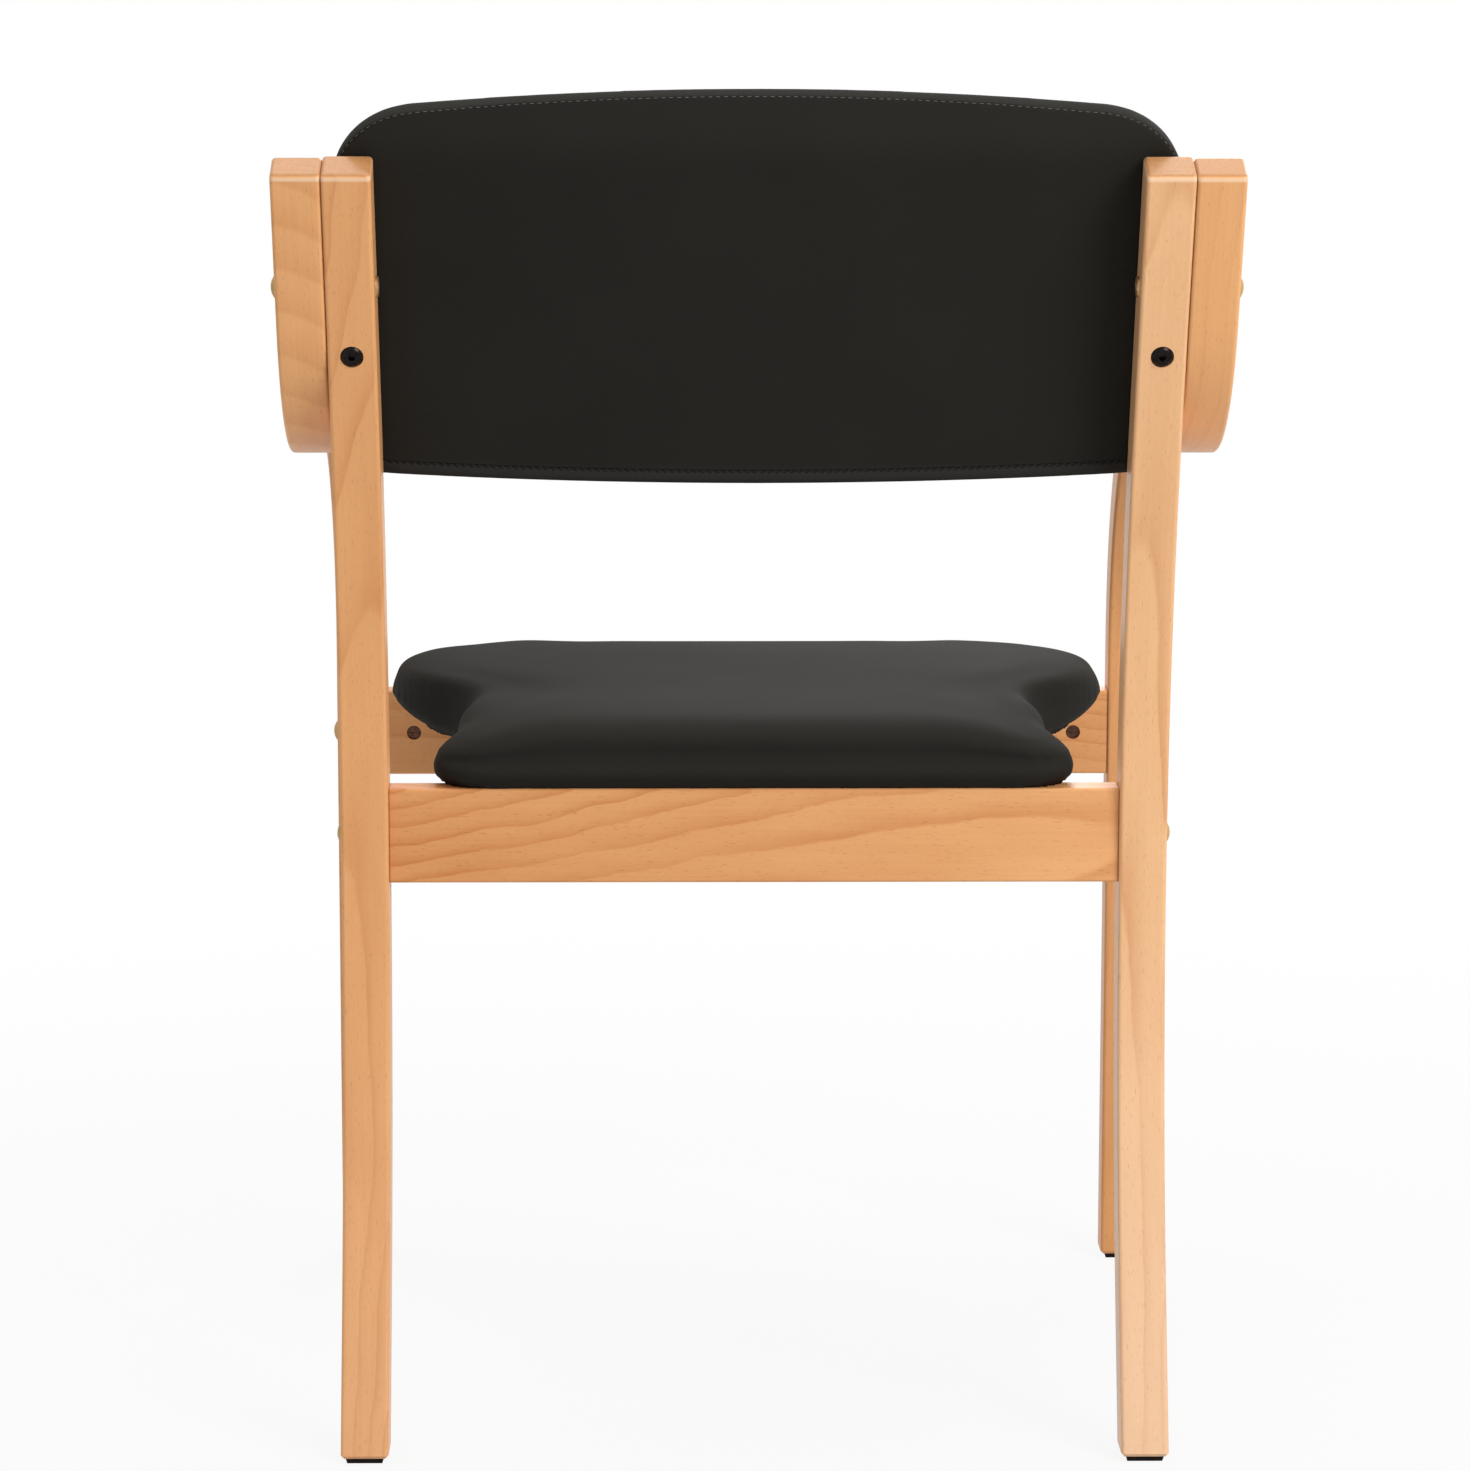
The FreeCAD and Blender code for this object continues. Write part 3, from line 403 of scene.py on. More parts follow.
@dataclass(frozen=True)
class Beech(Finish):
    """Lacquered beech: growth rings about a pith beside the member, fine pores, slow changes of tone and some
    painted light and shade.

    A scale is how fine a pattern is along the grain and across it. The depths of the sawn end and of the
    painted highlight on its rounded edge are down from the member's upper end.
    """

    name: str
    grain: Union[RailGrain, PostGrain, LoopGrain]
    seed: float
    pith: Pair = (0.030, 0.055)
    drift: Pair = (0.05, 0.02)
    ring: float = 0.0085
    ring_depth: float = 0.42
    ring_edge: float = 4.0
    ring_start: float = 0.28
    least_ring: float = 0.4
    sway: float = 0.024
    waver: float = 0.006
    ripple: float = 0.0012
    tone: float = 0.28
    # Change of tone along the member; on the arm loops it darkens the front legs as painted shade
    tone_and_shade_slope: float = 0.0
    end: float = NOWHERE
    joint: float = NOWHERE
    butt: float = NOWHERE
    # Share of a paler colour towards the floor, fading out by the given height
    low_paling: float = 0.0
    low_paling_height: float = 0.45
    pale: Colour = (0.92, 0.480, 0.202)
    deep: Colour = (0.62, 0.222, 0.064)
    fleck: Colour = (0.36, 0.125, 0.038)
    end_grain: Colour = (0.42, 0.190, 0.070)
    # Painted highlight on the rounded edge of a member's upper end
    edge_highlight: Colour = (0.97, 0.76, 0.56)
    # Painted shade in the groove between arm and post, and where a rail meets what it is fixed to
    crevice_shade: Colour = (0.20, 0.070, 0.024)
    low_pale: Colour = (0.91, 0.69, 0.52)
    sway_scale: Pair = (5.0, 10.0)
    waver_scale: Pair = (16.0, 18.0)
    ripple_scale: Pair = (85.0, 60.0)
    patch_scale: Pair = (7.0, 50.0)
    patch_band: Pair = (0.25, 0.65)
    streak_scale: Pair = (11.0, 520.0)
    streak_share: float = 0.22
    mottle_scale: Pair = (10.0, 34.0)
    mottle_share: float = 0.36
    pore_scale: Pair = (190.0, 1500.0)
    pore_band: Pair = (0.64, 0.74)
    pore_share: float = 0.30
    pore_depth: float = 0.00006
    knot_scale: Pair = (6.1, 21.0)
    knot_band: Pair = (0.006, 0.030)
    knot_share: float = 0.8
    sawn_depth: Pair = (0.0016, 0.0003)
    sawn_share: float = 0.75
    sawn_streak: float = 0.3
    highlight_start: Pair = (0.0046, 0.0032)
    highlight_stop: Pair = (0.0024, 0.0010)
    edge_highlight_share: float = 0.5
    joint_width: float = 0.0010
    joint_fade: float = 0.012
    joint_share: float = 0.6
    butt_width: float = 0.0012
    crevice_shade_share: float = 0.9
    roughness: float = 0.36
    streak_rough: float = 0.10
    pore_rough: float = 0.08
    sawn_gloss: float = 0.06
    gloss: float = 0.28

    @staticmethod
    def stretched(sheet: FinishSheet, run: Grain, scale: Pair) -> bpy.types.NodeSocket:
        """A place in the grain, scaled along it and across it."""
        return sheet.vector(run[0] * scale[0], run[1] * scale[1], run[2] * scale[1])

    def figure(self, sheet: FinishSheet, run: Grain, scale: Pair, detail: float = 2.0) -> Reading:
        """Noise from 0 to 1 that is drawn out along the grain."""
        return sheet.noise(self.stretched(sheet, run, scale), 1.0, detail)

    def late_wood(self, sheet: FinishSheet, grain: Grain, run: Grain) -> Reading:
        """The dark side of each growth ring, stronger in some patches than in others.

        Args:
            sheet: The finish's sheet.
            grain: The place along, across and through the member.
            run: The same place, moved along to this member's own stretch of noise.

        Returns:
            How dark the ring is, from 0 to 1.
        """
        along, across, through = grain
        sway = self.figure(sheet, run, self.sway_scale) - NOISE_MIDDLE
        waver = self.figure(sheet, run, self.waver_scale) - NOISE_MIDDLE
        ripple = self.figure(sheet, run, self.ripple_scale) - NOISE_MIDDLE
        aside = across - self.pith[0] - along * self.drift[0]
        aside = aside + sway * self.sway + waver * self.waver + ripple * self.ripple
        apart = through - self.pith[1] - along * self.drift[1]
        turn = (length(aside, apart) / self.ring).maths("FRACT")
        late = (1 - turn) ** self.ring_edge * turn.ramp(0.0, self.ring_start / self.ring_edge)
        patch = self.figure(sheet, run, self.patch_scale).ramp(*self.patch_band)
        return late * (patch * (1 - self.least_ring) + self.least_ring)

    def near_end(self, rise: Reading, depths: Pair) -> Reading:
        """A share that rises from 0 to 1 between two depths below the member's upper end."""
        return rise.ramp(self.end - depths[0], self.end - depths[1])

    def crevice_shading(self, aside: Reading, rise: Reading) -> Reading:
        """Painted shade: the dark line in the groove between arm and post, and the one where a rail meets
        what it is fixed to.

        Args:
            aside: The distance from the chair's middle.
            rise: The height up the lean of the back.

        Returns:
            How dark the painted shade is, from 0 to 1.
        """
        between = 1 - abs(aside - JOINT_X).ramp(0.0, self.joint_width)
        jointed = between * rise.ramp(self.joint, self.joint + self.joint_fade) * self.joint_share
        return jointed.at_least(aside.ramp(self.butt - self.butt_width, self.butt))

    def draw(self, sheet: FinishSheet) -> None:
        """Adds rings, streaks, pores, a few pin knots, the end grain, a paler colour towards the floor, a
        painted highlight on the upper end's rounded edge, painted shade between arm and post and at the
        rails' ends, and a satin lacquer.

        Args:
            sheet: The finish's sheet.
        """
        grain = self.grain.follow(sheet)
        along, across, through = grain
        run = (along + self.seed, across, through)
        x, y, z = sheet.position()
        rise = y * UP_LEAN.y + z * UP_LEAN.z
        late = self.late_wood(sheet, grain, run)
        streak = self.figure(sheet, run, self.streak_scale, detail=3.0) - NOISE_MIDDLE
        mottle = self.figure(sheet, run, self.mottle_scale) - NOISE_MIDDLE
        # The tone changes along the member; on the arm loops this darkens the front legs as painted shade
        tone = self.tone + along * self.tone_and_shade_slope
        share = tone + late * self.ring_depth + streak * self.streak_share + mottle * self.mottle_share
        colour = sheet.blend(share.at_least(0).at_most(1), self.pale, self.deep)
        # Paler towards the floor
        low = 1 - z.ramp(0.0, self.low_paling_height)
        colour = sheet.blend(low * self.low_paling, colour, self.low_pale)
        sawn = self.near_end(rise, self.sawn_depth)
        pores = self.figure(sheet, run, self.pore_scale, detail=1.0).ramp(*self.pore_band) * (1 - sawn)
        colour = sheet.blend(pores * self.pore_share, colour, self.fleck)
        spots = sheet.cells(self.stretched(sheet, run, self.knot_scale), 1.0)
        colour = sheet.blend((1 - spots.ramp(*self.knot_band)) * self.knot_share, colour, self.fleck)
        colour = sheet.blend(sawn * (self.sawn_share + streak * self.sawn_streak), colour, self.end_grain)
        # Painted highlight: a pale band along the rounded edge of the upper end
        edge = self.near_end(rise, self.highlight_start) * (1 - self.near_end(rise, self.highlight_stop))
        colour = sheet.blend(edge * self.edge_highlight_share, colour, self.edge_highlight)
        # Painted shade between arm and post and at the rails' ends
        colour = sheet.blend(self.crevice_shading(abs(x), rise) * self.crevice_shade_share, colour, self.crevice_shade)
        rough = self.roughness + streak * self.streak_rough + pores * self.pore_rough - sawn * self.sawn_gloss
        sheet.surface(Base_Color=colour, Roughness=rough, Normal=sheet.bump(1 - pores, self.pore_depth),
                      Specular_IOR_Level=self.gloss)


@dataclass(frozen=True)
class Vinyl(Finish):
    """Soft black vinyl with a fine grain, and a sewn line where the mesh carries its distance.

    The distance is in millimetres, over 0 on the panel and under 0 on the strip outside the seam.
    """

    name: str
    seam: Optional[str] = None
    colour: Colour = (0.0172, 0.0163, 0.0140)
    # Paler cover colour, for random wear and for the painted sheen near the top of the back
    wear_and_sheen_colour: Colour = (0.0262, 0.0250, 0.0220)
    # Painted light: a paler colour for the lower strip, standing in for the light it catches
    strip: Colour = (0.0300, 0.0290, 0.0268)
    # Painted shade colour for the seam's groove and puckers
    crease_shade: Colour = (0.004, 0.004, 0.004)
    strip_top: float = 0.0
    strip_fade: float = 0.006
    strip_start: Pair = (-16.0, -12.0)
    strip_stop: Pair = (-0.7, 0.1)
    strip_light_share: float = 0.85
    # Painted sheen: the cover is lighter above this height, near the top of the back
    sheen_start: float = 0.806
    sheen_fade: float = 0.030
    sheen_share: float = 0.6
    pucker: float = 0.0046
    pucker_offset: float = 0.6
    pucker_band: Pair = (0.2, 1.5)
    groove_width: float = 0.9
    groove_depth: float = 0.0006
    groove_shade_share: float = 0.25
    low_groove_shade_share: float = 0.35
    grain: float = 0.0011
    grain_depth: float = 0.00004
    cloud_scale: float = 14.0
    cloud_share: float = 0.6
    fine_scale: float = 2600.0
    fine_share: float = 0.2
    roughness: float = 0.66
    cloud_rough: float = 0.12
    grain_rough: float = 0.06
    gloss: float = 0.035

    def draw(self, sheet: FinishSheet) -> None:
        """Adds the pressed grain, a soft change of gloss and colour, a painted sheen along the top of the
        back, and the pulled seam.

        Args:
            sheet: The finish's sheet.
        """
        place = sheet.place()
        pebble = sheet.cells(place, 1 / self.grain)
        cloud = sheet.noise(place, self.cloud_scale, detail=3.0)
        fine = sheet.noise(place, self.fine_scale, detail=1.0)
        z = sheet.position()[2]
        # Painted sheen: the cover turns lighter near the top of the back, standing in for the light on its
        # rounded top
        painted_sheen = z.ramp(self.sheen_start, self.sheen_start + self.sheen_fade) * self.sheen_share
        wear_and_sheen = cloud * self.cloud_share + fine * self.fine_share + painted_sheen
        colour = sheet.blend(wear_and_sheen, self.colour, self.wear_and_sheen_colour)
        rough = self.roughness + cloud * self.cloud_rough + pebble * self.grain_rough
        normal = sheet.bump(1 - pebble, self.grain_depth)
        if self.seam:
            colour, normal = self.sewn(sheet, colour, normal)
        sheet.surface(Base_Color=colour, Roughness=rough, Normal=normal, Specular_IOR_Level=self.gloss)

    def sewn(self, sheet: FinishSheet, colour: bpy.types.NodeSocket,
             normal: bpy.types.NodeSocket) -> tuple[bpy.types.NodeSocket, bpy.types.NodeSocket]:
        """Adds painted light on the lower strip, which is drawn paler, painted shade in the groove of the
        seam and in the puckers along its lower run.

        Args:
            sheet: The finish's sheet.
            colour: The cover's colour.
            normal: The cover's normal.

        Returns:
            The colour and the normal with the seam in them.
        """
        x, _, z = sheet.position()
        attribute = sheet.node("ShaderNodeAttribute", {}, attribute_name=self.seam)
        distance = Reading(sheet, attribute.outputs["Fac"])
        # Painted light: the lower strip outside the seam is drawn paler
        low = 1 - z.ramp(self.strip_top, self.strip_top + self.strip_fade)
        outside = distance.ramp(*self.strip_start) * (1 - distance.ramp(*self.strip_stop))
        colour = sheet.blend(low * outside * self.strip_light_share, colour, self.strip)
        wave = (x * (math.tau / self.pucker)).maths("SINE") * 0.5 + 0.5
        pinch = wave * (1 - abs(distance + self.pucker_offset).ramp(*self.pucker_band))
        groove = (1 - abs(distance).ramp(0.0, self.groove_width)).at_least(pinch * low)
        # Painted shade in the seam's groove and puckers, stronger along the lower run
        shade = groove * (self.groove_shade_share + low * self.low_groove_shade_share)
        return sheet.blend(shade, colour, self.crease_shade), sheet.bump(1 - groove, self.groove_depth, normal)


@dataclass(frozen=True)
class Thread(Finish):
    """Twisted sewing thread in lit and shaded copies: grey in the upper rows and painted black in shade along
    the lower edge.
    """

    shade_below: float
    name: str = "sewing_thread"
    # Painted shade colour of the thread along the lower edge
    black: Colour = (0.009, 0.009, 0.008)
    dark: Colour = (0.050, 0.049, 0.046)
    pale: Colour = (0.150, 0.146, 0.138)
    shade_fade: float = 0.01
    ply_scale: float = 2200.0
    ply_depth: float = 0.0001
    roughness: float = 0.6
    ply_rough: float = 0.2

    def draw(self, sheet: FinishSheet) -> None:
        """Adds the twist of the plies and the painted shade that turns the lower row black.

        Args:
            sheet: The finish's sheet.
        """
        ply = sheet.noise(sheet.place(), self.ply_scale, detail=1.0)
        colour = sheet.blend(ply.ramp(*MIDDLE_BAND), self.dark, self.pale)
        z = sheet.position()[2]
        # Painted shade: below the given height the thread turns black
        colour = sheet.blend(z.ramp(self.shade_below, self.shade_below + self.shade_fade), self.black, colour)
        rough = self.roughness + ply * self.ply_rough
        sheet.surface(Base_Color=colour, Roughness=rough, Normal=sheet.bump(ply, self.ply_depth))


@dataclass(frozen=True)
class Steel(Finish):
    """Machined steel with fine marks, oxidised black or plated in zinc or brass, or darkened brown as a
    painted reflection.
    """

    name: str
    colour: Colour
    marked: Colour
    roughness: float
    cloud_scale: float = 420.0
    cloud_rough: float = 0.16
    mark_scale: Triple = (3000.0, 600.0, 600.0)
    mark_rough: float = 0.10
    mark_depth: float = 0.00002

    def draw(self, sheet: FinishSheet) -> None:
        """Adds fine turning marks and a cloudy plating.

        Args:
            sheet: The finish's sheet.
        """
        cloud = sheet.noise(sheet.place(), self.cloud_scale, detail=3.0)
        marks = sheet.noise(sheet.scaled(self.mark_scale), 1.0)
        colour = sheet.blend(cloud.ramp(*MIDDLE_BAND), self.colour, self.marked)
        rough = self.roughness + (cloud - NOISE_MIDDLE) * self.cloud_rough
        rough = rough + (marks - NOISE_MIDDLE) * self.mark_rough
        normal = sheet.bump(marks, self.mark_depth)
        sheet.surface(Base_Color=colour, Metallic=1.0, Roughness=rough, Normal=normal)


@dataclass(frozen=True)
class MouldedPlastic(Finish):
    """Moulded plastic with a light spark finish."""

    name: str
    colour: Colour
    shade: Colour
    roughness: float
    gloss: float = 0.5
    flow_scale: float = 150.0
    spark_scale: float = 3800.0
    spark_rough: float = 0.2
    spark_depth: float = 0.00003

    def draw(self, sheet: FinishSheet) -> None:
        """Adds a slight flow of colour and a spark-eroded grain.

        Args:
            sheet: The finish's sheet.
        """
        place = sheet.place()
        flow = sheet.noise(place, self.flow_scale)
        spark = sheet.noise(place, self.spark_scale)
        colour = sheet.blend(flow.ramp(*MIDDLE_BAND), self.colour, self.shade)
        rough = self.roughness + (spark - NOISE_MIDDLE) * self.spark_rough
        sheet.surface(Base_Color=colour, Roughness=rough, Normal=sheet.bump(spark, self.spark_depth),
                      Specular_IOR_Level=self.gloss)


@dataclass(frozen=True)
class Plywood(Finish):
    """Birch plywood with its plies on edge and a raw face."""

    name: str = "birch_plywood"
    ply: float = 0.0014
    face: Colour = (0.60, 0.42, 0.24)
    core: Colour = (0.36, 0.21, 0.10)
    ply_band: Pair = (0.40, 0.60)
    ply_share: float = 0.6
    hair_scale: Triple = (18.0, 700.0, 300.0)
    hair_share: float = 0.4
    hair_depth: float = 0.00008
    roughness: float = 0.65
    hair_rough: float = 0.2

    def draw(self, sheet: FinishSheet) -> None:
        """Adds the plies and the grain of each.

        Args:
            sheet: The finish's sheet.
        """
        z = sheet.position()[2]
        layer = (z / self.ply).maths("FRACT").ramp(*self.ply_band)
        hair = sheet.noise(sheet.scaled(self.hair_scale), 1.0, detail=3.0)
        colour = sheet.blend(layer * self.ply_share + hair * self.hair_share, self.face, self.core)
        rough = self.roughness + hair * self.hair_rough
        sheet.surface(Base_Color=colour, Roughness=rough, Normal=sheet.bump(hair, self.hair_depth))


@dataclass(frozen=True)
class DustCloth(Finish):
    """Black bonded cloth with a pressed dot pattern."""

    name: str = "dust_cloth"
    dot_pitch: float = 0.0022
    dot_band: Pair = (0.3, 0.8)
    dot_gloss: float = 0.25
    cloth: Colour = (0.013, 0.013, 0.013)
    fibre: Colour = (0.035, 0.035, 0.034)
    fibre_scale: Triple = (500.0, 1500.0, 500.0)
    fibre_band: Pair = (0.35, 0.75)
    relief: float = 0.0002
    roughness: float = 0.85

    def draw(self, sheet: FinishSheet) -> None:
        """Adds the dots and the loose fibres.

        Args:
            sheet: The finish's sheet.
        """
        x, y, _ = sheet.position()
        rows = (x / self.dot_pitch * math.tau).maths("SINE") * (y / self.dot_pitch * math.tau).maths("SINE")
        dots = rows.ramp(*self.dot_band)
        fibres = sheet.noise(sheet.scaled(self.fibre_scale), 1.0, detail=3.0)
        colour = sheet.blend(fibres.ramp(*self.fibre_band), self.cloth, self.fibre)
        rough = self.roughness - dots * self.dot_gloss
        sheet.surface(Base_Color=colour, Roughness=rough, Normal=sheet.bump(fibres - dots, self.relief))


# Hand tools

class Workshop:
    """Blender's operators, used on one piece at a time."""

    merge_distance = 0.00001
    sharp_angle = math.radians(50)

    @staticmethod
    def take(*pieces: bpy.types.Object) -> None:
        """Selects only these pieces, the first as the active one.

        Args:
            pieces: The pieces to select.
        """
        bpy.ops.object.select_all(action="DESELECT")
        for piece in pieces:
            piece.select_set(True)
        bpy.context.view_layer.objects.active = pieces[0]

    @staticmethod
    def copied(name: str, nodes: Sequence[str]) -> bpy.types.Object:
        """One new mesh from copies of CAD nodes, with the doubles of each merged.

        Args:
            name: The new piece's name.
            nodes: The nodes to copy.

        Returns:
            The new piece.
        """
        copies = []
        for node in nodes:
            source = frame["nodes"][node]
            copy = bpy.data.objects.new(name, source.data.copy())
            bpy.context.scene.collection.objects.link(copy)
            Workshop.take(copy)
            bpy.ops.object.mode_set(mode="EDIT")
            bpy.ops.mesh.select_all(action="SELECT")
            bpy.ops.mesh.remove_doubles(threshold=Workshop.merge_distance)
            bpy.ops.mesh.normals_make_consistent(inside=False)
            bpy.ops.object.mode_set(mode="OBJECT")
            copies.append(copy)
        Workshop.take(*copies)
        bpy.ops.object.join()
        copies[0].name = name
        return copies[0]

    @staticmethod
    def plug_bores(piece: bpy.types.Object, points: Iterable[Vector], axis: Vector, reach: float) -> None:
        """Closes bores: the faces of each bore's wall are deleted and the open rims filled.

        Args:
            piece: The bored piece.
            points: A point on the axis of each bore.
            axis: The direction of the bores.
            reach: A little more than the bores' largest radius.
        """
        mesh = piece.data
        for parts in (mesh.vertices, mesh.edges, mesh.polygons):
            parts.foreach_set("select", [False] * len(parts))
        inside = set()
        for point in points:
            for vertex in mesh.vertices:
                if (vertex.co - point).cross(axis).length < reach:
                    inside.add(vertex.index)
        for polygon in mesh.polygons:
            polygon.select = all(index in inside for index in polygon.vertices)
        Workshop.take(piece)
        bpy.ops.object.mode_set(mode="EDIT")
        bpy.ops.mesh.select_mode(type="FACE")
        bpy.ops.mesh.delete(type="FACE")
        bpy.ops.mesh.select_all(action="SELECT")
        bpy.ops.mesh.fill_holes(sides=0)
        bpy.ops.object.mode_set(mode="OBJECT")

    @staticmethod
    def modify(piece: bpy.types.Object, kind: str, **settings: Any) -> None:
        """Adds a modifier with its settings and applies it.

        Args:
            piece: The piece to modify.
            kind: The modifier's type.
            settings: The modifier's settings.
        """
        modifier = piece.modifiers.new(kind.title(), kind)
        for name, value in settings.items():
            setattr(modifier, name, value)
        Workshop.take(piece)
        bpy.ops.object.modifier_apply(modifier=modifier.name)

    @staticmethod
    def shape(piece: bpy.types.Object, move: Callable[[Vector, Vector], Vector]) -> None:
        """Moves each vertex to where a rule puts it.

        Args:
            piece: The piece to shape.
            move: The rule, from a place and a normal to the new place.
        """
        places = [move(vertex.co.copy(), vertex.normal.copy()) for vertex in piece.data.vertices]
        for vertex, place in zip(piece.data.vertices, places):
            vertex.co = place
        piece.data.update()

    @staticmethod
    def smooth_shaded(piece: bpy.types.Object) -> None:
        """Shades the piece smooth, apart from its sharp edges."""
        Workshop.take(piece)
        bpy.ops.object.shade_smooth_by_angle(angle=Workshop.sharp_angle)


Share = Callable[[Vector, Vector], float]


@dataclass
class Stuffing:
    """How a cushion is stuffed: cloth under pressure from within, with a capped rise."""

    voxel: float
    swell: float
    least_rise: float = 0.6
    most_rise: float = 1.5
    soften: int = 0
    returns: int = 3
    pressure: float = 4.0
    frames: int = 20
    fittings: int = 4
    stand_off: float = 0.004
    calm: int = 10
    smooth_factor: float = 0.5
    smooth_turns: int = 2

    def fill(self, piece: bpy.types.Object, held: Share) -> None:
        """Makes a stuffed cover of a closed form.

        Args:
            piece: The closed form, which becomes the cover.
            held: How firmly a place with its normal is fastened to the board, from 0 to 1.
        """
        form = bpy.data.objects.new("form", piece.data.copy())
        bpy.context.scene.collection.objects.link(form)
        Workshop.modify(piece, "REMESH", mode="VOXEL", voxel_size=self.voxel)
        for _ in range(self.fittings):
            self.draw_onto(piece, form)
        bpy.data.objects.remove(form)
        if self.soften:
            self.round_off(piece)
        self.inflate(piece, held)
        Workshop.modify(piece, "SUBSURF", levels=1, render_levels=1)

    def draw_onto(self, piece: bpy.types.Object, form: bpy.types.Object) -> None:
        """Evens out the cover, lifts it off the form and draws it onto the form's outer side again.

        Args:
            piece: The cover.
            form: The closed form.
        """
        Workshop.modify(piece, "SMOOTH", factor=self.smooth_factor, iterations=self.smooth_turns)
        Workshop.shape(piece, lambda place, normal: place + normal * self.stand_off)
        Workshop.modify(piece, "SHRINKWRAP", target=form, wrap_method="NEAREST_SURFACEPOINT")

    def round_off(self, piece: bpy.types.Object) -> None:
        """Rounds the foam's edges and gives back what that takes from its size.

        Args:
            piece: The cover.
        """
        before = [vertex.co.copy() for vertex in piece.data.vertices]
        Workshop.modify(piece, "SMOOTH", factor=self.smooth_factor, iterations=self.soften)
        for _ in range(self.returns):
            vertices = piece.data.vertices
            lost = [(start - vertex.co).dot(vertex.normal) for vertex, start in zip(vertices, before)]
            self.push_out(piece, self.calmed(piece.data, lost))

    def inflate(self, piece: bpy.types.Object, held: Share) -> None:
        """Runs the cloth under pressure from a smaller start and caps how far each point rises from it.

        Args:
            piece: The cover.
            held: How firmly a place with its normal is fastened to the board, from 0 to 1.
        """
        firm = [held(vertex.co, vertex.normal) for vertex in piece.data.vertices]
        normals = [vertex.normal.copy() for vertex in piece.data.vertices]
        self.push_out(piece, [self.swell * (share - 1) for share in firm])
        before = [vertex.co.copy() for vertex in piece.data.vertices]
        pins = piece.vertex_groups.new(name="held")
        for index, share in enumerate(firm):
            pins.add([index], share, "REPLACE")
        cloth = piece.modifiers.new("Cloth", "CLOTH")
        cloth.settings.use_pressure = True
        cloth.settings.uniform_pressure_force = self.pressure
        cloth.settings.effector_weights.gravity = 0
        cloth.settings.vertex_group_mass = pins.name
        cloth.point_cache.frame_end = self.frames
        scene = bpy.context.scene
        for number in range(1, self.frames + 1):
            scene.frame_set(number)
        Workshop.take(piece)
        bpy.ops.object.modifier_apply(modifier=cloth.name)
        scene.frame_set(1)
        piece.vertex_groups.clear()
        rises = []
        for vertex, start, normal in zip(piece.data.vertices, before, normals):
            share = (vertex.co - start).dot(normal) / self.swell
            rises.append(self.swell * max(self.least_rise, min(self.most_rise, share)))
        rises = [rise * (1 - share) for rise, share in zip(self.calmed(piece.data, rises), firm)]
        for vertex, start, normal, rise in zip(piece.data.vertices, before, normals, rises):
            vertex.co = start + normal * rise
        piece.data.update()

    @staticmethod
    def push_out(piece: bpy.types.Object, rises: Sequence[float]) -> None:
        """Moves each vertex along its normal by its own distance.

        Args:
            piece: The piece to move.
            rises: One distance for each vertex.
        """
        places = [vertex.co + vertex.normal * rise for vertex, rise in zip(piece.data.vertices, rises)]
        for vertex, place in zip(piece.data.vertices, places):
            vertex.co = place
        piece.data.update()

    def calmed(self, mesh: bpy.types.Mesh, rises: Sequence[float]) -> Sequence[float]:
        """Distances at a mesh's vertices, each averaged with its neighbours' a few times.

        Args:
            mesh: The mesh, for its edges.
            rises: One distance for each vertex.

        Returns:
            The averaged distances.
        """
        pairs = [tuple(edge.vertices) for edge in mesh.edges]
        for _ in range(self.calm):
            sums = list(rises)
            counts = [1] * len(rises)
            for first, second in pairs:
                sums[first] += rises[second]
                sums[second] += rises[first]
                counts[first] += 1
                counts[second] += 1
            rises = [total / count for total, count in zip(sums, counts)]
        return rises


# Sub-assemblies

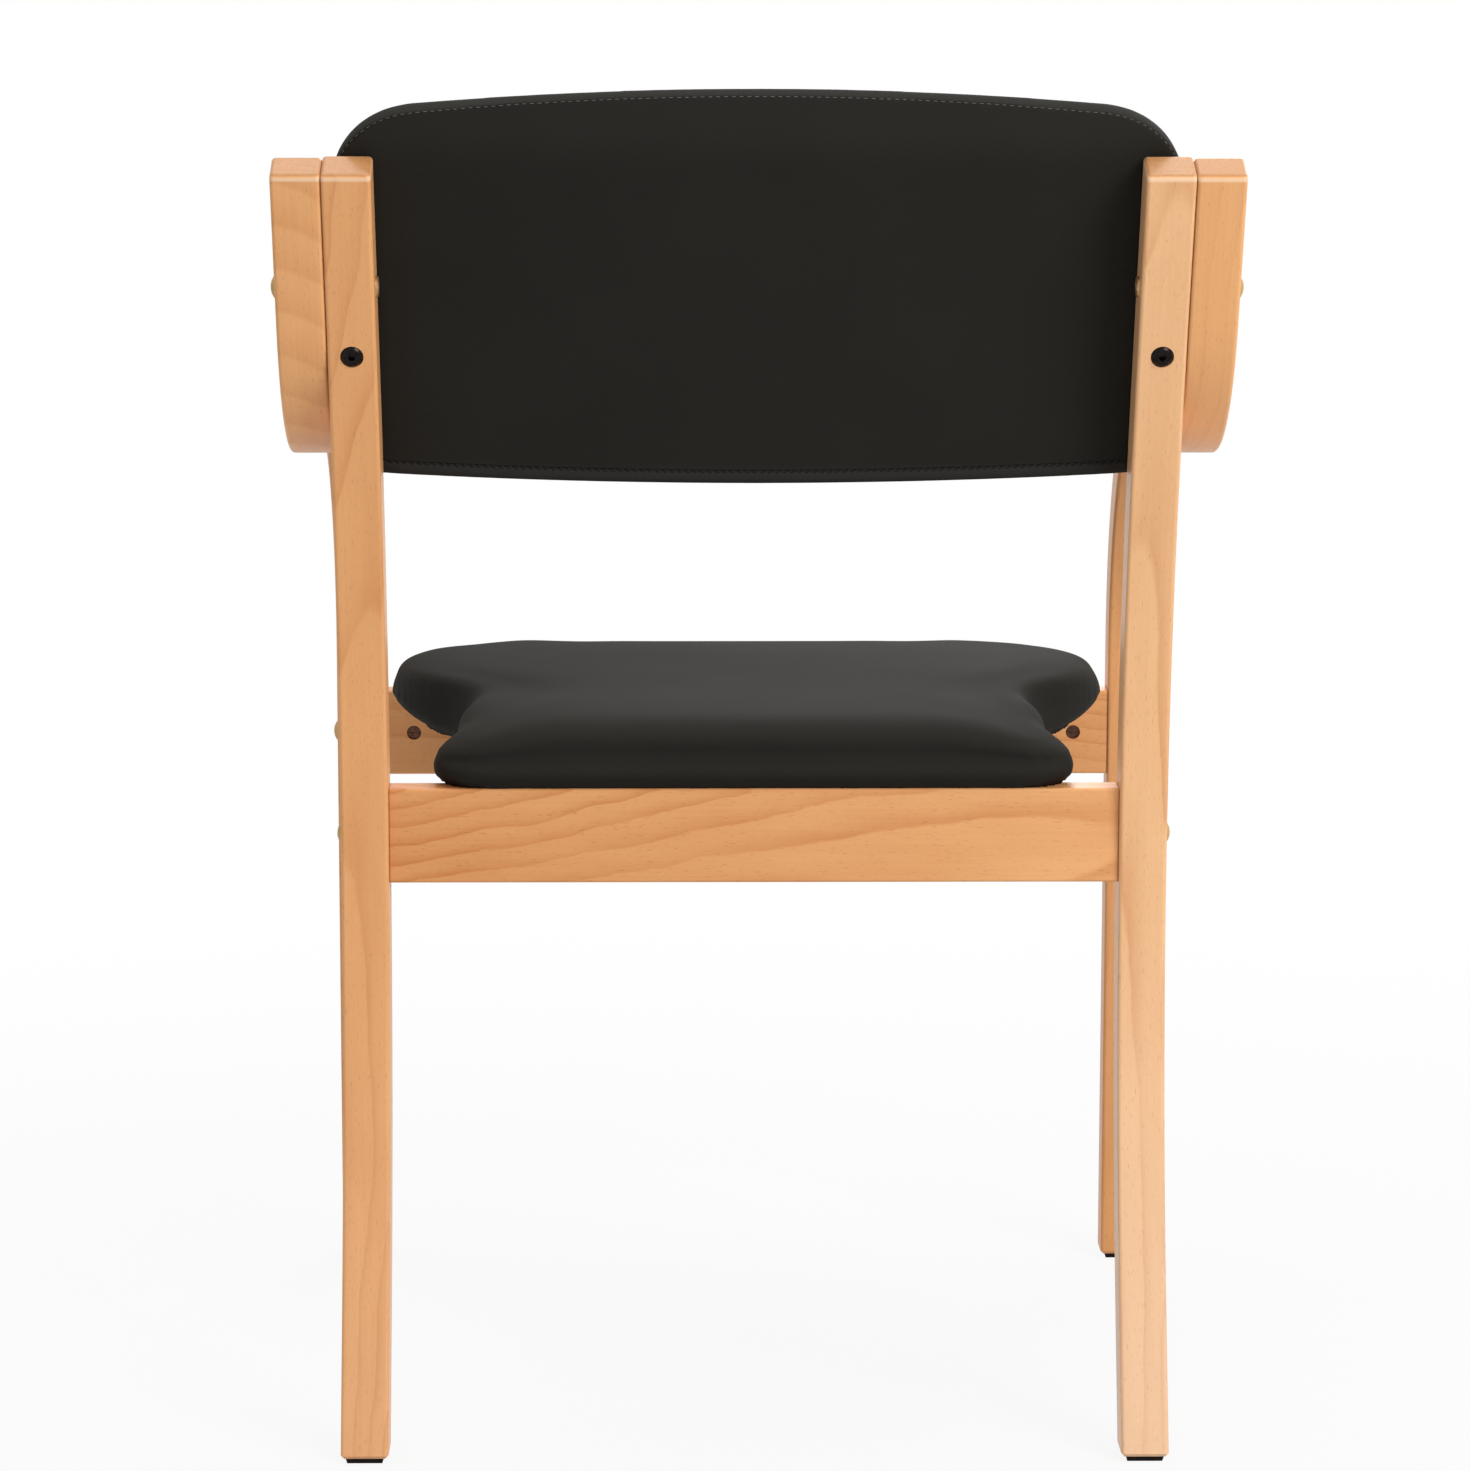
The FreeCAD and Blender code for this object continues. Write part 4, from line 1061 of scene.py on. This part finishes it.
@dataclass
class SeatCushion:
    """The seat: foam and board in a vinyl cover, which turns in under the board round a dust cloth."""

    stuffing: Stuffing = field(
        default_factory=lambda: Stuffing(voxel=0.005, swell=0.003, soften=26, returns=2))
    board_grip: Pair = (0.002, 0.012)
    bolt_reach: float = 0.0075
    flange_radius: float = 0.0065
    hem_rise: float = 0.0001
    hem_reach: float = 0.0014
    underside_normal: float = -0.9
    probe_drop: float = 0.01
    lip_height: float = 0.0085
    lip_reach: float = 0.0034
    lip_spread: float = 0.0055
    tuck_height: float = 0.0225
    tuck_reach: float = 0.0060
    tuck_spread: float = 0.0075
    side_share: float = 0.15
    rim_reach: float = 0.0009
    rim_height: Pair = (0.002, 0.008)
    upper_height: float = 0.036
    corner_drop: float = 0.0085
    corner_x: Pair = (0.110, 0.195)
    corner_y: Pair = (0.030, 0.150)
    waist_y: float = 0.060
    waist_spread: float = 0.045
    waist_fill: float = 0.0145
    waist_x: Pair = (0.100, 0.170)
    wing_lift: float = 0.0022
    wing_x: Pair = (0.170, 0.235)
    wing_height: Pair = (0.004, 0.022)

    def bolt_points(self) -> list[Vector]:
        """Where the four tee nuts are.

        Returns:
            A point on the axis of each.
        """
        low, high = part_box("seat_tee_nuts")
        xs = (low.x + self.flange_radius, high.x - self.flange_radius)
        ys = (low.y + self.flange_radius, high.y - self.flange_radius)
        return [Vector((x, y, 0)) for x in xs for y in ys]

    def build(self) -> bpy.types.Object:
        """Models the cushion and dresses it.

        Returns:
            The cushion.
        """
        board = Workshop.copied("seat_core", ["seat_board"])
        Workshop.plug_bores(board, self.bolt_points(), UP, self.bolt_reach)
        cushion = Workshop.copied("seat_cushion", ["seat_cover", "seat_foam", "seat_liner"])
        Workshop.take(cushion, board)
        bpy.ops.object.join()
        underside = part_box("seat_board")[0].z
        self.stuffing.fill(
            cushion, lambda place, normal: 1 - smooth_step(*self.board_grip, place.z - underside))
        self.pull_cover(cushion)
        self.turn_in_hem(cushion)
        Workshop.smooth_shaded(cushion)
        Vinyl("seat_vinyl").dress(cushion)
        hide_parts("seat_cover", "seat_foam")
        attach(cushion, BODY)
        return cushion

    def pull_cover(self, cushion: bpy.types.Object) -> None:
        """Fills the waist, rolls off the rear corners and draws the sides in above a soft lip.

        Args:
            cushion: The stuffed cushion.
        """
        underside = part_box("seat_cover")[0].z

        def pull(place: Vector, normal: Vector) -> Vector:
            """Where the cover's pull takes a place.

            Args:
                place: A vertex's place.
                normal: Its normal.

            Returns:
                The new place.
            """
            height = place.z - underside
            aside = abs(place.x)
            lip = self.lip_reach * hump(self.lip_height, self.lip_spread, height)
            tuck = self.tuck_reach * hump(self.tuck_height, self.tuck_spread, height)
            level = Vector((normal.x, normal.y, 0))
            rear = self.side_share + (1 - self.side_share) * max(normal.y, 0) ** 2
            corner = smooth_step(*self.corner_x, aside) * smooth_step(*self.corner_y, place.y)
            upper = smooth_step(self.lip_height, self.upper_height, height)
            waist = hump(self.waist_y, self.waist_spread, place.y)
            outward = math.copysign(waist * self.waist_fill * smooth_step(*self.waist_x, aside), place.x)
            low = 1 - smooth_step(*self.wing_height, height)
            lift = self.wing_lift * smooth_step(*self.wing_x, aside) * low
            rim = self.rim_reach * (1 - smooth_step(*self.rim_height, height))
            moved = place + level * (level.length * rear * (lip - tuck) + rim)
            return moved + Vector((outward, 0, lift - self.corner_drop * corner * upper))

        Workshop.shape(cushion, pull)

    def turn_in_hem(self, cushion: bpy.types.Object) -> None:
        """Lays the hem on the rails, and keeps the cover off the dust cloth inside the hem.

        Args:
            cushion: The pulled cushion.
        """
        cloth_low, cloth_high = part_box("seat_liner")
        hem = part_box("seat_cover")[0].z + self.hem_rise
        cloth_tree = BVHTree.FromObject(frame["nodes"]["seat_liner"], bpy.context.evaluated_depsgraph_get())

        def rest(place: Vector, normal: Vector) -> Vector:
            """Where a place on the underside rests, on the hem or over the cloth.

            Args:
                place: A vertex's place.
                normal: Its normal.

            Returns:
                The new place.
            """
            if normal.z > self.underside_normal or place.z > cloth_high.z + self.hem_reach:
                return Vector((place.x, place.y, max(place.z, hem)))
            below = Vector((place.x, place.y, cloth_low.z - self.probe_drop))
            covered = cloth_tree.ray_cast(below, UP)[0] is not None
            return Vector((place.x, place.y, cloth_high.z if covered else hem))

        Workshop.shape(cushion, rest)


@dataclass
class BackCushion:
    """The back: foam on a curved board, a front cover that turns round the edge and a sewn rear panel."""

    stuffing: Stuffing = field(default_factory=lambda: Stuffing(voxel=0.004, swell=0.002))
    corner: Vector = field(default_factory=lambda: Vector((0, 0.18459, 0.6162)))
    height: float = 0.2628
    half_width: float = 0.258
    top_crown: float = 1.370
    side_crown: float = 3.000
    top_corner: float = 0.059
    bottom_corner: float = 0.024
    curve_radius: float = 2.000
    panel_gap: float = 0.0004
    contact_x: float = 0.2325
    bolt_x: float = 0.245
    bolt_rise: float = 0.0985
    bolt_reach: float = 0.0075
    strip_at_bottom: float = 0.0108
    strip_at_top: float = 0.0009
    strip_fade_start: float = 0.02
    strip_fade_share: float = 0.6
    strip_proud: float = 0.0007
    strip_bulge: float = 0.0011
    bulge_ends: Pair = (0.014, 0.004)
    bulge_rise: Pair = (0.012, 0.03)
    panel_step: Pair = (-0.0008, 0.0016)
    panel_turn: Pair = (0.35, 0.75)
    foam_depth: Pair = (0.0105, 0.0165)
    top_roll: float = 0.0028
    bottom_roll: float = 0.006
    roll_fade: Pair = (0.01, 0.08)
    stitch_pitch: float = 0.0046
    stitch_size: Triple = (0.0029, 0.00045, 0.00045)
    stitch_rise: float = 0.00005
    probe_reach: float = 0.1
    lower_steps: int = 24
    low_corner_steps: int = 8
    side_steps: int = 24
    high_corner_steps: int = 16
    upper_steps: int = 40
    seam_name: str = "seam_distance"
    seam_normal: float = 0.3
    off_panel: float = -50.0

    def flat(self, place: Vector) -> Triple:
        """A place as its distance across, up the lean and out of the rear face at the posts."""
        offset = place - self.corner
        return offset.x, offset.dot(UP_LEAN), offset.dot(OUT_OF_BACK)

    def rear_face(self, x: float) -> float:
        """How far the rear panel stands out behind the posts' front faces."""
        at_posts = math.sqrt(self.curve_radius ** 2 - self.contact_x ** 2)
        return math.sqrt(self.curve_radius ** 2 - x ** 2) - at_posts

    def depth(self, place: Vector) -> float:
        """How far a place lies in front of the rear panel."""
        x, _, out = self.flat(place)
        return self.rear_face(x) - out

    def strip(self, rise: float) -> float:
        """The width of the turned-over strip at a height: narrow at the top and wide at the bottom."""
        share = smooth_step(self.strip_fade_start, self.strip_fade_share * self.height, rise)
        return self.strip_at_bottom + share * (self.strip_at_top - self.strip_at_bottom)

    def bulge(self, x: float, rise: float, distance: float) -> float:
        """How far the lower strip stands out over its hem, between the posts.

        Args:
            x: The distance across.
            rise: The height up the lean.
            distance: How far inside the outline it is.

        Returns:
            The distance that it stands out.
        """
        share = min(distance / self.strip(rise), 1.0)
        start, stop = (self.contact_x - inset for inset in self.bulge_ends)
        between_posts = 1 - smooth_step(start, stop, abs(x))
        low = 1 - smooth_step(*self.bulge_rise, rise)
        return self.strip_bulge * math.sin(math.pi * share) * between_posts * low

    def roll(self, rise: float) -> float:
        """The radius of the rear edge's roll at a height: tight at the top and full at the bottom."""
        share = smooth_step(*self.roll_fade, rise)
        return self.bottom_roll + share * (self.top_roll - self.bottom_roll)

    @cached_property
    def centres(self) -> dict[str, Vector]:
        """The centres of the outline's arcs on the left half.

        Returns:
            The centre of each arc by its name.
        """
        top = Vector((0, self.height - self.top_crown))
        side = Vector((self.half_width - self.side_crown, self.height / 2))
        low_reach = self.side_crown - self.bottom_corner
        low_x = side.x + math.sqrt(low_reach ** 2 - (side.y - self.bottom_corner) ** 2)
        between = side - top
        top_reach = self.top_crown - self.top_corner
        side_reach = self.side_crown - self.top_corner
        span = between.length
        share = (top_reach ** 2 - side_reach ** 2 + span ** 2) / (2 * span)
        aside = math.sqrt(top_reach ** 2 - share ** 2)
        ahead = between / span
        high = top + ahead * share + Vector((ahead.y, -ahead.x)) * aside
        return {"top": top, "side": side, "low": Vector((low_x, self.bottom_corner)), "high": high}

    def edge_distance(self, x: float, rise: float) -> float:
        """How far a place on the rear panel lies inside the outline.

        Args:
            x: The distance across.
            rise: The height up the lean.

        Returns:
            The distance to the outline.
        """
        centres = self.centres
        place = Vector((abs(x), rise))
        nearest = min(rise, self.top_crown - (place - centres["top"]).length,
                      self.side_crown - (place - centres["side"]).length)
        for name, radius, rising in (("high", self.top_corner, 1), ("low", self.bottom_corner, -1)):
            offset = place - centres[name]
            if offset.x > 0 and offset.y * rising > 0:
                nearest = min(nearest, radius - offset.length)
        return nearest

    def seam_distance(self, place: Vector) -> float:
        """How far a place lies inside the seam of the rear panel."""
        x, rise, _ = self.flat(place)
        return self.edge_distance(x, rise) - self.strip(rise)

    def build(self) -> list[bpy.types.Object]:
        """Models the cushion and its stitches and dresses them.

        Returns:
            The cushion and the stitches.
        """
        board = Workshop.copied("back_core", ["back_board"])
        rise = self.corner + UP_LEAN * self.bolt_rise
        bolts = [rise + Vector((side * self.bolt_x, 0, 0)) for side in (-1, 1)]
        Workshop.plug_bores(board, bolts, OUT_OF_BACK, self.bolt_reach)
        cushion = Workshop.copied("back_cushion", ["back_cover_front", "back_cover_rear", "back_foam"])
        Workshop.take(cushion, board)
        bpy.ops.object.join()
        self.stuffing.fill(
            cushion, lambda place, normal: 1 - smooth_step(*self.foam_depth, self.depth(place)))
        self.sew_panel(cushion)
        Workshop.smooth_shaded(cushion)
        Vinyl("back_vinyl", self.seam_name, strip_top=self.corner.z + self.strip_at_bottom).dress(cushion)
        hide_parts("back_cover_front", "back_cover_rear", "back_foam")
        stitches = self.stitch(cushion)
        for piece in (cushion, stitches):
            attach(piece, BODY)
        return [cushion, stitches]

    def sew_panel(self, cushion: bpy.types.Object) -> None:
        """Sets the rear panel in from the strip round it, and keeps the distances to the seam in the mesh.

        Args:
            cushion: The stuffed cushion.
        """

        def set_in(place: Vector, normal: Vector) -> Vector:
            """Where a place of the panel lies, on the board's curve and set in within the seam.

            Args:
                place: A vertex's place.
                normal: Its normal.

            Returns:
                The new place.
            """
            x, rise, out = self.flat(place)
            distance = max(self.edge_distance(x, rise), 0)
            roll = self.roll(rise)
            short = max(roll - distance, 0)
            behind = self.rear_face(x) - self.panel_gap - roll + math.sqrt(roll ** 2 - short ** 2)
            behind -= smooth_step(*self.panel_step, distance - self.strip(rise)) * self.strip_proud
            behind += self.bulge(x, rise, distance)
            share = 1.0 if out > behind else smooth_step(*self.panel_turn, normal.dot(OUT_OF_BACK))
            return place + OUT_OF_BACK * ((behind - out) * share)

        Workshop.shape(cushion, set_in)
        Workshop.modify(cushion, "SMOOTH", factor=self.stuffing.smooth_factor,
                        iterations=self.stuffing.smooth_turns)
        distances = []
        for vertex in cushion.data.vertices:
            behind = vertex.normal.dot(OUT_OF_BACK) > self.seam_normal
            distances.append(self.seam_distance(vertex.co) / MILLIMETRE if behind else self.off_panel)
        attribute = cushion.data.attributes.new(self.seam_name, "FLOAT", "POINT")
        attribute.data.foreach_set("value", distances)

    def seam_path(self) -> list[Pair]:
        """Places round the seam, from the middle of the lower edge and back to it.

        Returns:
            The distance across and the height up the lean of each.
        """
        centres = self.centres
        half = []
        top, side, low, high = (centres[name] for name in ("top", "side", "low", "high"))
        low_turn = math.atan2(low.y - side.y, low.x - side.x)
        high_turn = math.atan2(high.y - side.y, high.x - side.x)
        top_turn = math.atan2(high.y - top.y, high.x - top.x)
        arcs = ((low, self.bottom_corner, -math.pi / 2, low_turn, self.low_corner_steps),
                (side, self.side_crown, low_turn, high_turn, self.side_steps),
                (high, self.top_corner, high_turn, top_turn, self.high_corner_steps),
                (top, self.top_crown, top_turn, math.pi / 2, self.upper_steps))
        for step in range(self.lower_steps):
            half.append((low.x * step / self.lower_steps, self.strip_at_bottom))
        for centre, radius, start, end, steps in arcs:
            for step in range(steps):
                turn = start + (end - start) * step / steps
                rise = centre.y + radius * math.sin(turn)
                reach = radius - self.strip(rise)
                half.append((centre.x + reach * math.cos(turn), centre.y + reach * math.sin(turn)))
        top_middle = (0.0, self.height - self.strip_at_top)
        return half + [top_middle] + [(-x, rise) for x, rise in reversed(half[1:])]

    def stitch(self, cushion: bpy.types.Object) -> bpy.types.Object:
        """Sews a row of stitches along the seam, on the surface of the cushion.

        Args:
            cushion: The finished cushion.

        Returns:
            The stitches as one mesh.
        """
        tree = BVHTree.FromObject(cushion, bpy.context.evaluated_depsgraph_get())
        points = []
        for x, rise in self.seam_path():
            start = self.corner + Vector((x, 0, 0)) + UP_LEAN * rise + OUT_OF_BACK * self.probe_reach
            hit = tree.ray_cast(start, -OUT_OF_BACK)[0]
            if hit is not None:
                points.append(hit + OUT_OF_BACK * self.stitch_rise)
        curve = bpy.data.curves.new("seam_line", "CURVE")
        curve.dimensions = "3D"
        line = curve.splines.new("POLY")
        line.points.add(len(points) - 1)
        for spot, place in zip(line.points, points):
            spot.co = (*place, 1)
        line.use_cyclic_u = True
        guide = bpy.data.objects.new("seam_line", curve)
        bpy.context.scene.collection.objects.link(guide)
        bpy.ops.object.select_all(action="DESELECT")
        bpy.ops.mesh.primitive_uv_sphere_add(segments=6, ring_count=5, radius=0.5, location=(0, 0, 0))
        stitches = bpy.context.active_object
        stitches.name = "back_stitches"
        bpy.ops.object.mode_set(mode="EDIT")
        bpy.ops.mesh.select_all(action="SELECT")
        bpy.ops.transform.rotate(value=math.pi / 2, orient_axis="Y", center_override=(0, 0, 0))
        bpy.ops.transform.resize(value=self.stitch_size)
        bpy.ops.object.mode_set(mode="OBJECT")
        Workshop.modify(stitches, "ARRAY", fit_type="FIT_CURVE", curve=guide, use_relative_offset=False,
                        use_constant_offset=True, constant_offset_displace=(self.stitch_pitch, 0, 0))
        Workshop.modify(stitches, "CURVE", object=guide, deform_axis="POS_X")
        bpy.data.objects.remove(guide)
        Workshop.smooth_shaded(stitches)
        Thread(self.corner.z + 2 * self.strip_at_bottom).dress(stitches)
        return stitches


@dataclass
class WoodenFrame:
    """The posts, loops, rails and dowels of the frame, each with its own cut of beech."""

    # A paler colour for the right post
    right_post_pale: Colour = (0.95, 0.560, 0.285)
    joint_start: float = 0.690

    @staticmethod
    def top_end(node: str) -> float:
        """How far up the lean a member's end face is."""
        return max(vertex.co.dot(UP_LEAN) for vertex in frame["nodes"][node].data.vertices)

    def finishes(self) -> dict[str, Beech]:
        """The cut of beech of each wooden node.

        Returns:
            The finishes by node.
        """
        rear = RailGrain(sum(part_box("rear_rail"), Vector()) / 2)
        front = RailGrain(sum(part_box("front_rail"), Vector()) / 2)
        post = {"end": self.top_end("rear_post_left"), "joint": self.joint_start}
        loop = {"end": self.top_end("arm_loop_left"), "joint": self.joint_start}
        cuts = {
            "rear_post_left": Beech(
                "beech_post_left", PostGrain(), seed=1.3, pith=(0.012, 0.050), drift=(-0.10, 0.05),
                tone=0.29, tone_and_shade_slope=-0.14, low_paling=0.1, **post),
            "rear_post_right": Beech(
                "beech_post_right", PostGrain(), seed=7.9, pith=(-0.020, 0.070), drift=(0.05, 0.03),
                ring=0.007, ring_depth=0.5, waver=0.002, tone=0.12, low_paling=0.36, pale=self.right_post_pale, **post),
            # On the arm loops the tone slope darkens the front legs: painted shade
            "arm_loop_left": Beech(
                "beech_loop_left", LoopGrain(), seed=12.1, pith=(0.010, 0.048), drift=(0.03, 0.30),
                ring_depth=0.34, ring_edge=1.7, waver=0.014, tone=0.33, tone_and_shade_slope=-0.25, **loop),
            "arm_loop_right": Beech(
                "beech_loop_right", LoopGrain(), seed=18.7, pith=(0.020, 0.060), drift=(0.04, 0.02),
                ring_depth=0.2, tone=0.36, tone_and_shade_slope=-0.32, **loop),
            "rear_rail": Beech(
                "beech_rear_rail", rear, seed=23.0, pith=(-0.060, -0.090), drift=(-0.25, 0.05),
                ring=0.0095, ring_depth=0.58, ring_edge=3.0, waver=0.014, ripple=0.0022,
                tone=0.36, tone_and_shade_slope=0.9, butt=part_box("rear_rail")[1].x),
            "front_rail": Beech(
                "beech_front_rail", front, seed=29.4, pith=(-0.050, 0.070), drift=(0.10, 0.03),
                tone=0.40, butt=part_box("front_rail")[1].x),
        }
        for node in ("rear_rail_dowels", "front_rail_dowels", "arm_dowels"):
            cuts[node] = Beech("beech_dowels", rear, seed=31.0)
        return cuts

    def dress(self) -> None:
        """Gives each wooden node its finish."""
        for node, finish in self.finishes().items():
            finish.dress(frame["nodes"][node])


@dataclass
class Fittings:
    """The bolts, nuts, caps, glides, boards and dust cloth."""

    def finishes(self) -> dict[Slot, Finish]:
        """The finish of each slot that isn't wood or vinyl.

        Returns:
            The finishes by slot.
        """
        return {
            Slot.ZINC_STEEL: Steel("bright_zinc", (0.60, 0.60, 0.61), (0.44, 0.43, 0.42), 0.34),
            Slot.BLACK_STEEL: Steel("black_oxide", (0.020, 0.016, 0.015), (0.012, 0.010, 0.009), 0.26),
            Slot.CAP_PLASTIC: MouldedPlastic("tan_caps", (0.62, 0.36, 0.085), (0.52, 0.28, 0.060), 0.46),
            Slot.GLIDE_PLASTIC: MouldedPlastic(
                "black_glides", (0.0060, 0.0042, 0.0034), (0.010, 0.007, 0.006), 0.72, gloss=0.12),
            Slot.PLYWOOD: Plywood(),
            Slot.LINER: DustCloth(),
        }

    def dress(self) -> None:
        """Gives each fitting the finish of its slot, and two kinds of nut a finish of their own: a painted
        reflection darkens the front barrel nuts to brown, and the arm sleeve nuts are brass.
        """
        finishes = self.finishes()
        for subpart in frame["record"]["subparts"]:
            slot = next((slot for slot in finishes if slot.value == subpart["material_slot"]), None)
            if slot is not None:
                finishes[slot].dress(frame["nodes"][subpart["node"]])
        # Painted reflection: the front barrel nuts are darkened brown, standing in for the dark room and the
        # wood that they reflect
        dark_reflection = Steel("painted_reflection_brown", (0.12, 0.060, 0.042), (0.060, 0.034, 0.026), 0.26)
        dark_reflection.dress(frame["nodes"]["front_barrel_nuts"])
        brass = Steel("aged_brass", (0.66, 0.44, 0.22), (0.50, 0.31, 0.14), 0.5)
        brass.dress(frame["nodes"]["arm_sleeve_nuts"])


@dataclass
class Studio:
    """The pale floor, the soft lights and the camera."""

    floor_size: float = 40.0
    floor_white: Colour = (0.62, 0.62, 0.62)
    shadow_share: float = 0.10
    shadow_reach: Pair = (0.5, 1.8)
    room_light: float = 0.52
    aim: Vector = field(default_factory=lambda: Vector((0, 0.05, 0.45)))
    camera_place: Vector = field(default_factory=lambda: Vector((0.0556, 3.260, 0.9302)))
    camera_pitch: float = 8.81
    camera_yaw: float = -0.794
    camera_roll: float = 0.064
    lens: float = 121.886
    sensor: float = 36.0

    def build(self) -> None:
        """Sets up the floor, the world, the lamps, the camera and the view transform."""
        self.lay_floor()
        self.light_room()
        self.hang_lamp("key_lamp", Vector((-1.9, 2.3, 2.3)), size=1.6, power=67)
        self.hang_lamp("top_lamp", Vector((0.2, -0.4, 3.0)), size=2.4, power=36)
        self.hang_lamp("front_lamp", Vector((-0.9, -2.9, 1.7)), size=1.8, power=30)
        self.place_camera()
        bpy.context.scene.view_settings.view_transform = "Standard"

    @staticmethod
    def seen_directly(sheet: FinishSheet) -> Reading:
        """Whether a ray comes from the camera, or by way of metal or glass.

        Args:
            sheet: The sheet of the floor or the world.

        Returns:
            1 for such a ray and 0 for any other.
        """
        path = sheet.node("ShaderNodeLightPath", {})
        names = ("Is Camera Ray", "Is Glossy Ray", "Is Transmission Ray")
        camera, glossy, through = (Reading(sheet, path.outputs[name]) for name in names)
        return camera.at_least(glossy).at_least(through)

    def lay_floor(self) -> None:
        """Lays a wide white floor that keeps the chair's shadow."""
        bpy.ops.object.select_all(action="DESELECT")
        bpy.ops.mesh.primitive_plane_add(size=self.floor_size, location=(0, 0, 0))
        floor = bpy.context.active_object
        floor.name = "studio_floor"
        material = bpy.data.materials.new("studio_floor")
        material.use_nodes = True
        sheet = FinishSheet(material.node_tree)
        x, y, _ = sheet.position()
        far = length(x, y).ramp(*self.shadow_reach)
        white = (1 - self.shadow_share) + far * self.shadow_share
        matt = sheet.node("ShaderNodeBsdfDiffuse", {"Color": self.floor_white}).outputs[0]
        glow = sheet.node("ShaderNodeEmission", {"Color": (1, 1, 1), "Strength": 1.0}).outputs[0]
        share = self.seen_directly(sheet) * white
        sheet.end(sheet.node("ShaderNodeMixShader", {0: share, 1: matt, 2: glow}).outputs[0])
        floor.data.materials.append(material)

    def light_room(self) -> None:
        """Lights the room evenly, with a white background."""
        world = bpy.data.worlds.new("studio")
        bpy.context.scene.world = world
        world.use_nodes = True
        sheet = FinishSheet(world.node_tree)
        room, white = (
            sheet.node("ShaderNodeBackground", {"Color": (1, 1, 1), "Strength": strength}).outputs[0]
            for strength in (self.room_light, 1.0))
        seen = self.seen_directly(sheet)
        mixed = sheet.node("ShaderNodeMixShader", {0: seen, 1: room, 2: white})
        sheet.end(mixed.outputs[0], "ShaderNodeOutputWorld")

    def hang_lamp(self, name: str, place: Vector, size: float, power: float) -> None:
        """Hangs a square soft lamp that faces the chair.

        Args:
            name: The lamp's name.
            place: Where it hangs.
            size: The length of its side.
            power: Its power in watts.
        """
        lamp = bpy.data.lights.new(name, "AREA")
        lamp.size = size
        lamp.energy = power
        holder = bpy.data.objects.new(name, lamp)
        holder.location = place
        holder.rotation_euler = (self.aim - place).to_track_quat("-Z", "Y").to_euler()
        bpy.context.scene.collection.objects.link(holder)

    def place_camera(self) -> None:
        """Places the camera behind the chair."""
        camera = bpy.data.cameras.new("camera")
        camera.lens = self.lens
        camera.sensor_width = self.sensor
        holder = bpy.data.objects.new("camera", camera)
        holder.location = self.camera_place
        turns = (90 - self.camera_pitch, -self.camera_roll, 180 + self.camera_yaw)
        holder.rotation_euler = [math.radians(turn) for turn in turns]
        bpy.context.scene.collection.objects.link(holder)
        bpy.context.scene.camera = holder


def main() -> None:
    """Builds the chair's soft pieces, dresses the frame and lights the studio."""
    logging.basicConfig(level=logging.INFO, format="%(name)s: %(message)s")
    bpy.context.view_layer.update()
    WoodenFrame().dress()
    Fittings().dress()
    pieces = [SeatCushion().build(), *BackCushion().build()]
    for piece in pieces:
        log.info("%s has %d faces", piece.name, len(piece.data.polygons))
    Studio().build()


if __name__ == "__main__":
    main()
